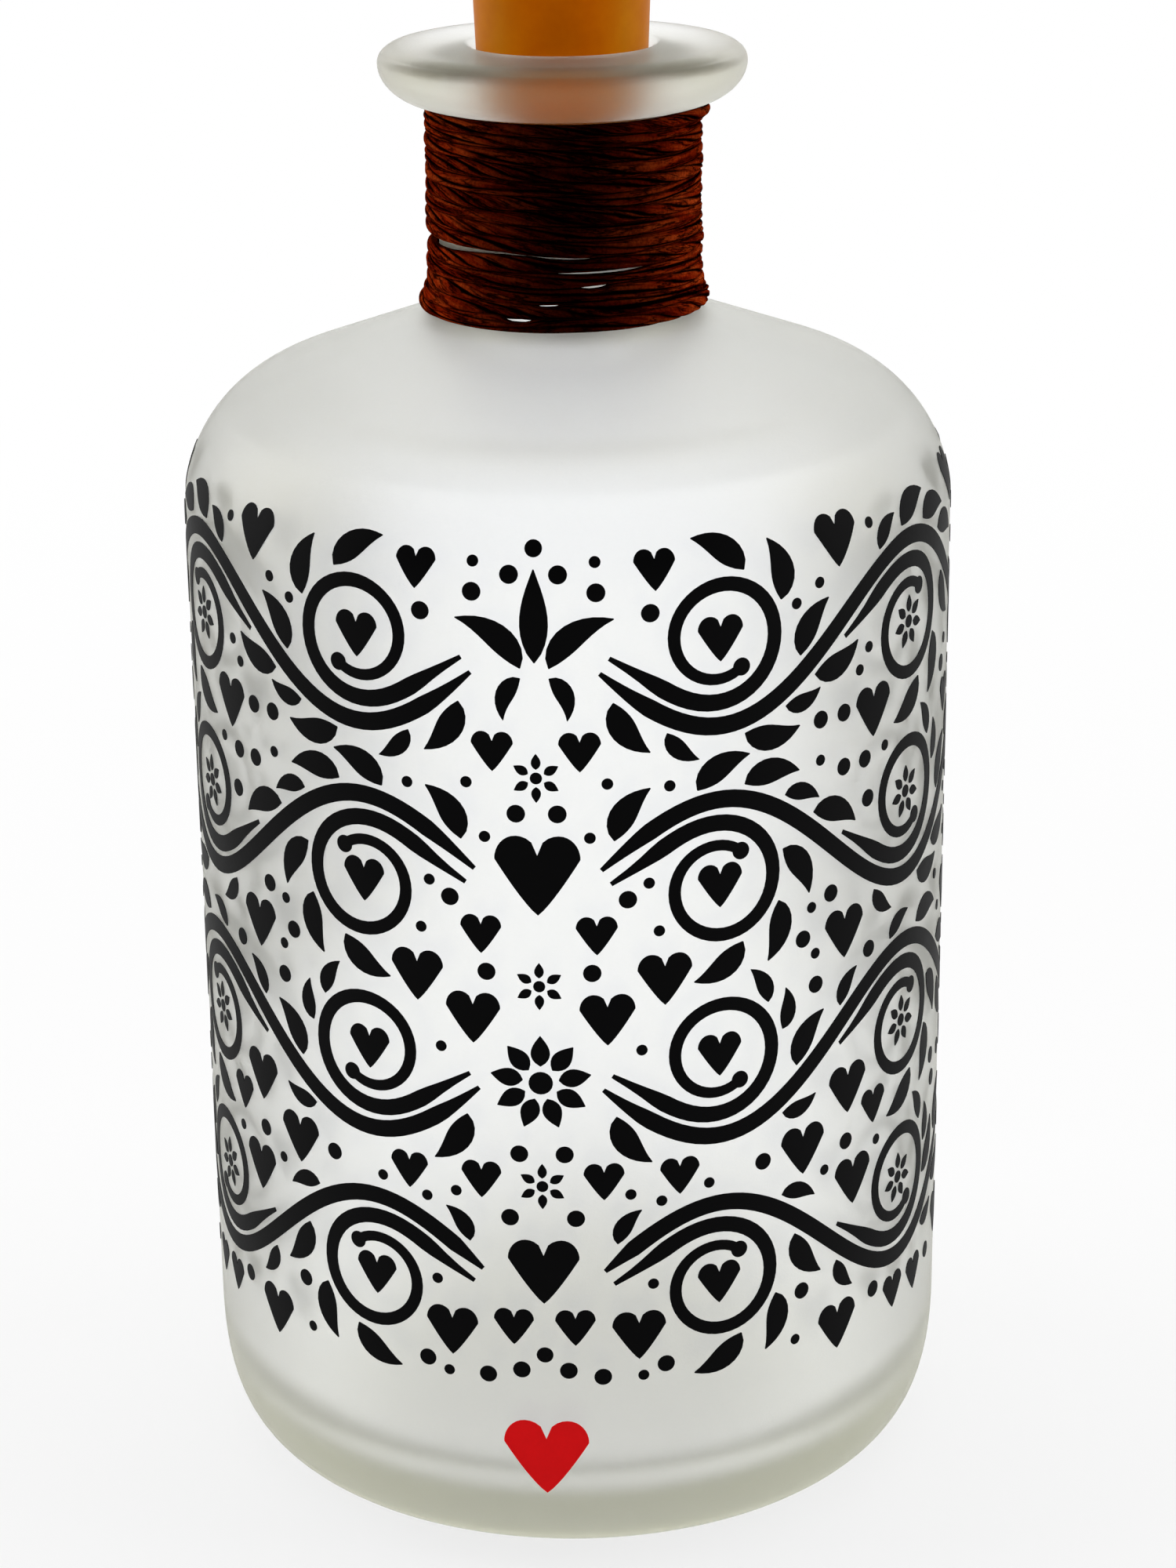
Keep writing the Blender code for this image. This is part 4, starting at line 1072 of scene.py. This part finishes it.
CORK_PLASTIC = plastic(
    "cork_plastic",
    ((0.53, 0.112, 0.0004), (0.67, 0.175, 0.0006)),
    roughness=0.45,
    grain_scale=3000.0,
    depth=0.012 * MM,
    values={"Specular IOR Level": 0.05, "Specular Tint": (0.5, 1.0, 0.01, 1.0)},
    painted_flank_light=[(0.05, (1.0, 0.84, 1.0)), (0.3, (0.84, 1.0, 1.0))],
)
BLACKS = ((0.012, 0.012, 0.013), (0.022, 0.022, 0.023))
BLACK_PLASTIC = plastic("black_plastic", BLACKS, 0.42, 5200.0, 0.01 * MM)
CLEARS = ((0.86, 0.87, 0.86), (0.92, 0.92, 0.91))
CLEAR_VALUES = {"Transmission Weight": 1.0, "IOR": 1.58}
CLEAR_PLASTIC = plastic("clear_plastic", CLEARS, 0.16, 2600.0, 0.004 * MM, CLEAR_VALUES)

# %% [markdown]
# ## Stopper shells
# The housing is a thin tapered sleeve with a ledge for its board and a round opening in its foot. The cap
# above it continues the same cone, and a fine groove marks where the two part. Both are turned, and the cap
# then gets the slot for the switch.

# %% Housing and cap
HOUSING_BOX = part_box("stopper_housing")
CAP_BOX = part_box("battery_cap")
BOARD_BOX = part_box("circuit_board")
HEAD_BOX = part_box("cell_cradle")
KNOB_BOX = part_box("switch_slider")
FOOT_Z = HOUSING_BOX[0].z
HOUSING_RIM_Z = HOUSING_BOX[1].z
FOOT_PLATE = 1.2 * MM
HOUSING_WALL = 1.2 * MM
FOOT_ROUNDING = 0.8 * MM
WINDOW_OPENING_RADIUS = 5.5 * MM
PARTING_CHAMFER = 0.3 * MM
TOP_ROUNDING = 1.2 * MM
CAP_TOP = 1.5 * MM
LEDGE = 0.7 * MM
KNOB_LENGTH = 2.0 * MM
SWITCH_TRAVEL = 2.0 * MM
STOPPER_STEPS = 144


def stopper_radius(z):
    return STOPPER_RADIUS + (z - BOTTLE_HEIGHT) * STOPPER_SLOPE


def dress(piece, body, node, material):
    """Gives a finished piece its material and its body, and hides the node that it stands for."""
    piece.data.materials.clear()
    piece.data.materials.append(material)
    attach(piece, body)
    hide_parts(node)
    return piece


def make_housing():
    board_z = BOARD_BOX[0].z
    floor = FOOT_Z + FOOT_PLATE
    seat_z = board_z - FIT
    seat_radius = stopper_radius(board_z) - HOUSING_WALL
    rim_radius = stopper_radius(HOUSING_RIM_Z)
    rim = (rim_radius - PARTING_CHAMFER, HOUSING_RIM_Z - PARTING_CHAMFER)
    foot = (stopper_radius(FOOT_Z + FOOT_ROUNDING) - FOOT_ROUNDING, FOOT_Z + FOOT_ROUNDING)
    outline = arc(rim, PARTING_CHAMFER, 90, 0, 4) + arc(foot, FOOT_ROUNDING, 0, -90, 8)
    outline += [(WINDOW_OPENING_RADIUS, FOOT_Z), (WINDOW_OPENING_RADIUS, floor), (seat_radius - LEDGE, floor)]
    outline += [(seat_radius - LEDGE, seat_z), (seat_radius, seat_z)]
    outline += [(rim_radius - HOUSING_WALL, HOUSING_RIM_Z)]
    piece = turned("stopper_sleeve", outline, STOPPER_STEPS, ring=True)
    return dress(piece, "stopper", "stopper_housing", CORK_PLASTIC)


def make_cap():
    base, top = CAP_BOX[0].z, CAP_BOX[1].z
    ceiling = top - CAP_TOP
    inside = HEAD_RADIUS + FIT
    crown = (stopper_radius(top - TOP_ROUNDING) - TOP_ROUNDING, top - TOP_ROUNDING)
    rim = (stopper_radius(base) - PARTING_CHAMFER, base + PARTING_CHAMFER)
    outline = [(0.0, top)] + arc(crown, TOP_ROUNDING, 90, 0, 10) + arc(rim, PARTING_CHAMFER, 0, -90, 4)
    outline += [(inside, base), (inside, ceiling), (0.0, ceiling)]
    piece = turned("stopper_cap", outline, STOPPER_STEPS)
    knob_width = KNOB_BOX[1].y - KNOB_BOX[0].y
    long, wide = KNOB_LENGTH + SWITCH_TRAVEL + 2 * FIT, knob_width + 2 * FIT
    cut_box(piece, (-long / 2, -wide / 2, ceiling - MM), (long / 2, wide / 2, top + MM))
    return dress(piece, "cartridge", "battery_cap", CORK_PLASTIC)


# %% [markdown]
# ## Cartridge
# The cradle holds three button cells one above the other, open at the front so that they can be changed.
# Its cup-shaped head is the spigot that the cap slips over. The cradle is turned like the CAD solid, opened
# with three box cuts, and shaded smooth.

# %% Cradle
CELL_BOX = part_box("button_cell_1")
CELL_RADIUS = CELL_BOX[1].x
CELL_BAY_RADIUS = CELL_RADIUS + FIT
CRADLE_RADIUS = CELL_BAY_RADIUS + 0.6 * MM
CRADLE_LIP = 0.6 * MM
CRADLE_LIP_RADIUS = 4.9 * MM
CRADLE_FLOOR = 1.2 * MM
SIDE_WRAP = 1.5 * MM
HEAD_WALL = 1.0 * MM
CUT_OVERRUN = 2.0 * MM
STRIP_HALF_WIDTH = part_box("conductor_strip")[1].x
CONTACT_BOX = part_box("positive_contact")
CONTACT_THICKNESS = 0.25 * MM
CEILING_Z = CONTACT_BOX[0].z + CONTACT_THICKNESS + FIT
HEAD_RADIUS = stopper_radius(CEILING_Z) - HOUSING_WALL - FIT


def make_cradle():
    base, head = HEAD_BOX[0].z, HEAD_BOX[1].z
    floor = CEILING_Z + CRADLE_FLOOR
    cup = HEAD_RADIUS - HEAD_WALL
    outline = [(0.0, floor), (cup, floor), (cup, head), (HEAD_RADIUS, head), (HEAD_RADIUS, CEILING_Z)]
    outline += [(CRADLE_RADIUS, CEILING_Z), (CRADLE_RADIUS, base), (CRADLE_LIP_RADIUS, base)]
    outline += [(CRADLE_LIP_RADIUS, base + CRADLE_LIP), (CELL_BAY_RADIUS, base + CRADLE_LIP)]
    outline += [(CELL_BAY_RADIUS, CEILING_Z), (0.0, CEILING_Z)]
    piece = turned("cell_holder", outline, STOPPER_STEPS)
    over = CUT_OVERRUN
    reach = CRADLE_RADIUS + over
    cut_box(piece, (-reach, -reach, base + CRADLE_LIP), (reach, -SIDE_WRAP, CEILING_Z))
    groove = STRIP_HALF_WIDTH + FIT
    cut_box(piece, (-groove, CRADLE_RADIUS, CEILING_Z - over), (groove, HEAD_RADIUS + over, head + over))
    tail_x = CONTACT_BOX[1].x
    tail_y = CONTACT_BOX[1].y + FIT
    low = (tail_x - CONTACT_THICKNESS - FIT, -tail_y, CEILING_Z - over / 4)
    cut_box(piece, low, (tail_x + FIT, tail_y, floor + over / 2))
    return dress(piece, "cartridge", "cell_cradle", BLACK_PLASTIC)


# %% Build the stopper's shells
make_housing()
make_cap()
make_cradle()

# %% [markdown]
# ## Metals
# The button cells are nickel-plated, the switch can and the spring are rolled steel, and the contacts are
# brass. Rolled sheet shows fine streaks. A drawn part such as a cell shows them as rings, so the streaks
# there read a vector whose first number is the angle round the axis.

# %% Metal finishes
def metal(name, colour, roughness, ringed=False):
    material, tree, shader = new_material(name, {"Metallic": 1.0})
    space = object_space(tree)
    if ringed:
        angle = add(tree, "ShaderNodeTexGradient", vector=space, gradient_type="RADIAL").outputs["Fac"]
        reach = length_of(tree, scaled(tree, space, (1.0, 1.0, 0.0)))
        rings = add(tree, "ShaderNodeCombineXYZ", angle, reach, part_of(tree, space, "Z"))
        scratches = placed(tree, STREAKS, rings.outputs["Vector"], Scale=9000.0, Stretch=0.0006)
    else:
        scratches = placed(tree, STREAKS, space, Scale=7000.0, Stretch=0.04)
    tarnish = placed(tree, GRAIN, space, Scale=420.0, Broad_Share=0.5)
    darker = tuple(part * 0.8 for part in colour)
    base = ramp(tree, tarnish, [(0.35, darker), (0.65, colour)])
    brushed = spread(tree, scratches, roughness - 0.08, roughness + 0.12)
    surface(tree, shader, base, brushed, scratches, 0.004 * MM)
    return material


NICKEL = metal("nickel_plate", (0.66, 0.65, 0.62), 0.24, ringed=True)
STEEL = metal("rolled_steel", (0.60, 0.60, 0.58), 0.3)
BRASS = metal("brass", (0.72, 0.50, 0.20), 0.3)

# %% [markdown]
# A button cell is a drawn can with a smaller cap let into its lower side. The groove of the seal shows as a
# dark ring between the two, and the can's edge is rolled over it. The three cells share one outline at
# different heights.

# %% Button cells and window
CELL_STEPS = 96
CELL_CAP_RADIUS = 4.7 * MM
CELL_STEP = 0.4 * MM
CELL_EDGE = 0.45 * MM
CELL_GROOVE = 0.25 * MM
CELL_DISH_DEPTH = 0.04 * MM
CELL_BRIM_WIDTH = 1.3 * MM
CELL_BRIM_FOOT = 1.5 * MM


def make_cell(number):
    low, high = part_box(f"button_cell_{number}")
    radius, half = high.x, CELL_STEP / 2
    shelf, dish = low.z + CELL_STEP, high.z - CELL_DISH_DEPTH
    groove = CELL_CAP_RADIUS + CELL_GROOVE
    outline = [(0.0, dish), (radius - CELL_BRIM_FOOT, dish), (radius - CELL_BRIM_WIDTH, high.z)]
    outline += arc((radius - CELL_EDGE, high.z - CELL_EDGE), CELL_EDGE, 90, 0, 6)
    outline += arc((radius - half, shelf + half), half, 0, -90, 4)
    outline += [(groove, shelf), (groove, shelf + CELL_GROOVE), (CELL_CAP_RADIUS, shelf + CELL_GROOVE)]
    outline += arc((CELL_CAP_RADIUS - half, low.z + half), half, 0, -90, 4)
    outline += [(0.0, low.z)]
    piece = turned(f"cell_{number}", outline, CELL_STEPS)
    return dress(piece, "cartridge", f"button_cell_{number}", NICKEL)


def make_window():
    low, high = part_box("light_window")
    flange = high.x
    lens = WINDOW_OPENING_RADIUS - FIT
    flange_z = FOOT_Z + FOOT_PLATE + FIT
    dome = FOOT_Z - low.z
    outline = [(0.0, high.z), (flange, high.z), (flange, flange_z), (lens, flange_z)]
    outline += arc((0.0, FOOT_Z), (lens, dome), 0, -90, 14)
    piece = turned("lens", outline, CELL_STEPS)
    return dress(piece, "stopper", "light_window", CLEAR_PLASTIC)


for number in (1, 2, 3):
    make_cell(number)
make_window()

# %% [markdown]
# ## Board, diode and switch
# The small CAD solids inside the stopper have the right shape already and only need their finish. The
# boards are green solder mask over woven glass, the diode is pale yellow epoxy with tinned legs, the
# resistor is black ceramic, and the switch stands on a brown phenolic base.

# %% Finishes of the electrical pieces
def board_material():
    material, tree, shader = new_material("solder_mask", {})
    space = object_space(tree)
    waves = []
    for axis in ("X", "Y"):
        wave = add(tree, "ShaderNodeTexWave", vector=space, wave_type="BANDS", scale=650.0, distortion=0.6)
        wave.bands_direction = axis
        waves.append(wave.outputs["Color"])
    woven = blend_colour(tree, 0.5, *waves)
    tracks = add(tree, "ShaderNodeTexVoronoi", vector=space, feature="DISTANCE_TO_EDGE", scale=420.0)
    paths = ramp(tree, tracks.outputs["Distance"], [(0.06, (0.05, 0.24, 0.1)), (0.1, (0.012, 0.1, 0.035))])
    toned = ramp(tree, woven, [(0.2, 0.75), (0.8, 1.0)])
    surface(tree, shader, blend_colour(tree, 1.0, paths, toned, "MULTIPLY"), 0.35, woven, 0.01 * MM)
    return material


def diode_material():
    """Epoxy below the flange and tinned legs above it, told apart by their height."""
    material, tree, shader = new_material("diode_epoxy", {"Roughness": 0.18})
    space = object_space(tree)
    flange_top = BOARD_BOX[0].z - FIT
    legs = worked_out(tree, "GREATER_THAN", part_of(tree, space, "Z"), flange_top + 0.05 * MM)
    cloudy = placed(tree, GRAIN, space, Scale=500.0, Broad_Share=0.5)
    epoxy = ramp(tree, cloudy, [(0.3, (0.84, 0.66, 0.28)), (0.7, (0.93, 0.82, 0.5))])
    tree.links.new(blend_colour(tree, legs, epoxy, (0.6, 0.6, 0.6)), shader.inputs["Base Color"])
    tree.links.new(legs, shader.inputs["Metallic"])
    return material


PHENOLIC_BROWNS = ((0.07, 0.03, 0.012), (0.12, 0.05, 0.02))
PHENOLIC = plastic("phenolic", PHENOLIC_BROWNS, 0.5, 4200.0, 0.015 * MM)
CERAMIC_BLACKS = ((0.02, 0.02, 0.022), (0.035, 0.035, 0.04))
CERAMIC = plastic("ceramic", CERAMIC_BLACKS, 0.5, 6000.0, 0.01 * MM)
SOLDER_MASK = board_material()
EPOXY = diode_material()

FINISH_OF_NODE = {
    "lamp_led": EPOXY,
    "circuit_board": SOLDER_MASK,
    "switch_board": SOLDER_MASK,
    "led_resistor": CERAMIC,
    "negative_spring": STEEL,
    "board_terminal": BRASS,
    "positive_contact": BRASS,
    "conductor_strip": BRASS,
    "switch_contact": BRASS,
    "switch_terminal_1": BRASS,
    "switch_terminal_2": BRASS,
    "switch_terminal_3": BRASS,
    "switch_base": PHENOLIC,
    "switch_can": STEEL,
    "switch_slider": BLACK_PLASTIC,
}
for node, material in FINISH_OF_NODE.items():
    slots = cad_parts[node].data.materials
    slots.clear()
    slots.append(material)
print("finished in place:", ", ".join(FINISH_OF_NODE))

# %% [markdown]
# ## Studio
# Satin glass shows the light around it more than its own colour. So the studio is bright behind the bottle,
# paler beside it and dark in front, which gives white glass with soft grey edges and a dark middle on the
# wound cord. The world tells the kinds of rays apart: the camera sees plain white, light that passes
# through the glass sees a backdrop that is brightest right behind the bottle, and mirrored and scattered
# light see the dark front as well.

# %% World
def make_world():
    world = bpy.data.worlds.new("studio")
    bpy.context.scene.world = world
    world.use_nodes = True
    tree = world.node_tree
    rays = tree.nodes.new("ShaderNodeLightPath").outputs
    depth = part_of(tree, tree.nodes.new("ShaderNodeTexCoord").outputs["Generated"], "Y")
    mirrored_level = gradient(tree, depth, -0.15, 0.8, 0.28, 0.9)
    through_level = gradient(tree, depth, 0.1, 1.0, 0.8, 1.24)
    indirect = blend_colour(tree, rays["Is Transmission Ray"], mirrored_level, through_level)
    colour = blend_colour(tree, rays["Is Camera Ray"], indirect, (1.0, 1.0, 1.0))
    tree.links.new(colour, tree.nodes["Background"].inputs["Color"])


# %% [markdown]
# The floor is matt and pale, and it also glows, so that it runs into the white of the world. The camera and
# mirrored rays see mostly the glow, and the share of the floor's own shading that is left near the bottle
# keeps its soft shadow. Light that has come through the glass sees the glow alone: a little brighter than
# white, but with a painted shadow, an oval under the bottle where the glow is dimmer, which gives the heel
# its grey.

# %% Floor
FLOOR_SIZE = 8.0
FLOOR_DROP = 0.05 * MM
SHADOW_REACH = 0.5
GLOW_UNDER_BOTTLE = 0.76
# A painted shadow: seen through the glass, the floor's glow is dimmer in an oval under the bottle.
SHADOW_OVAL_STRETCH = (1.7, 1.0, 0.0)
SHADOW_OVAL_START = 0.7 * BODY_RADIUS
SHADOW_OVAL_END = 1.6 * BODY_RADIUS
SHADOW_OVAL_LEVEL = 0.67
OPEN_LEVEL = 1.08


def make_floor():
    deselect_all()
    bpy.ops.mesh.primitive_circle_add(
        vertices=96, radius=FLOOR_SIZE / 2, fill_type="NGON", location=(0, 0, -FLOOR_DROP)
    )
    floor = bpy.context.object
    floor.name = "studio_floor"
    values = {"Base Color": (0.84, 0.84, 0.84, 1.0), "Roughness": 0.9, "Specular IOR Level": 0.1}
    material, tree, shader = new_material("pale_floor", values)
    rays = tree.nodes.new("ShaderNodeLightPath").outputs
    space = object_space(tree)
    # Painted shadow under the bottle, seen only through the glass.
    reach = length_of(tree, scaled(tree, space, SHADOW_OVAL_STRETCH))
    through = gradient(tree, reach, SHADOW_OVAL_START, SHADOW_OVAL_END, SHADOW_OVAL_LEVEL, OPEN_LEVEL)
    level = blend_colour(tree, rays["Is Transmission Ray"], (1.0, 1.0, 1.0), through)
    glow = add(tree, "ShaderNodeEmission", color=level)
    share = gradient(tree, length_of(tree, space), BODY_RADIUS, SHADOW_REACH, GLOW_UNDER_BOTTLE, 1.0)
    direct = worked_out(tree, "MAXIMUM", rays["Is Camera Ray"], rays["Is Glossy Ray"])
    shared = worked_out(tree, "MULTIPLY", direct, share)
    glowing = worked_out(tree, "MAXIMUM", shared, rays["Is Transmission Ray"])
    mix = add(tree, "ShaderNodeMixShader", glowing, shader.outputs["BSDF"], glow.outputs["Emission"])
    tree.links.new(mix.outputs["Shader"], tree.nodes["Material Output"].inputs["Surface"])
    floor.data.materials.append(material)
    return floor


# %% [markdown]
# Two tall softboxes stand left and right, a little behind the bottle, and a large one hangs above. They
# light the flanks of the cord and of the stopper and leave the middle darker. Neither the camera nor light
# that has come through the glass sees them.

# %% Softboxes
SOFTBOXES = (
    # name, place, width, height, power
    ("left_softbox", (-1.0, 0.1, 0.4), 0.8, 1.2, 7.0),
    ("right_softbox", (1.0, 0.1, 0.4), 0.8, 1.2, 6.2),
    ("top_softbox", (0.0, 0.35, 1.2), 1.4, 1.2, 6.0),
)
AIM = Vector((0.0, 0.0, BOTTLE_HEIGHT / 2))


def make_softboxes():
    for name, place, width, height, power in SOFTBOXES:
        lamp = bpy.data.lights.new(name, "AREA")
        lamp.shape = "RECTANGLE"
        lamp.size = width
        lamp.size_y = height
        lamp.energy = power
        holder = bpy.data.objects.new(name, lamp)
        holder.location = place
        holder.visible_camera = False
        holder.visible_transmission = False
        holder.rotation_euler = (AIM - Vector(place)).to_track_quat("-Z", "Y").to_euler()
        bpy.context.scene.collection.objects.link(holder)


# %% [markdown]
# The camera stands a little to the right of the front and looks down on the bottle, close enough for the
# lip and the body to show their perspective. It is built from plain turns: round the bottle, down by its
# pitch, and a trace of roll.

# %% Camera
CAMERA_DISTANCE = 389.23 * MM
CAMERA_HEIGHT = 216.59 * MM
CAMERA_ROUND = math.radians(4.9)
CAMERA_YAW = math.radians(0.275)
CAMERA_PITCH = math.radians(19.792)
CAMERA_ROLL = math.radians(-0.624)
LENS_MM = 84.31
SENSOR_MM = 36.0


def make_camera():
    lens = bpy.data.cameras.new("camera")
    lens.lens = LENS_MM
    lens.sensor_width = SENSOR_MM
    camera = bpy.data.objects.new("camera", lens)
    across = CAMERA_DISTANCE * math.sin(CAMERA_ROUND)
    back = CAMERA_DISTANCE * math.cos(CAMERA_ROUND)
    place = Vector((across, -back, CAMERA_HEIGHT))
    turn = Matrix.Rotation(CAMERA_ROUND - CAMERA_YAW, 4, "Z")
    tilt = Matrix.Rotation(math.pi / 2 - CAMERA_PITCH, 4, "X")
    roll = Matrix.Rotation(CAMERA_ROLL, 4, "Z")
    camera.matrix_world = Matrix.Translation(place) @ turn @ tilt @ roll
    bpy.context.scene.collection.objects.link(camera)
    bpy.context.scene.camera = camera


make_world()
make_floor()
make_softboxes()
make_camera()
bpy.context.scene.view_settings.view_transform = "Standard"
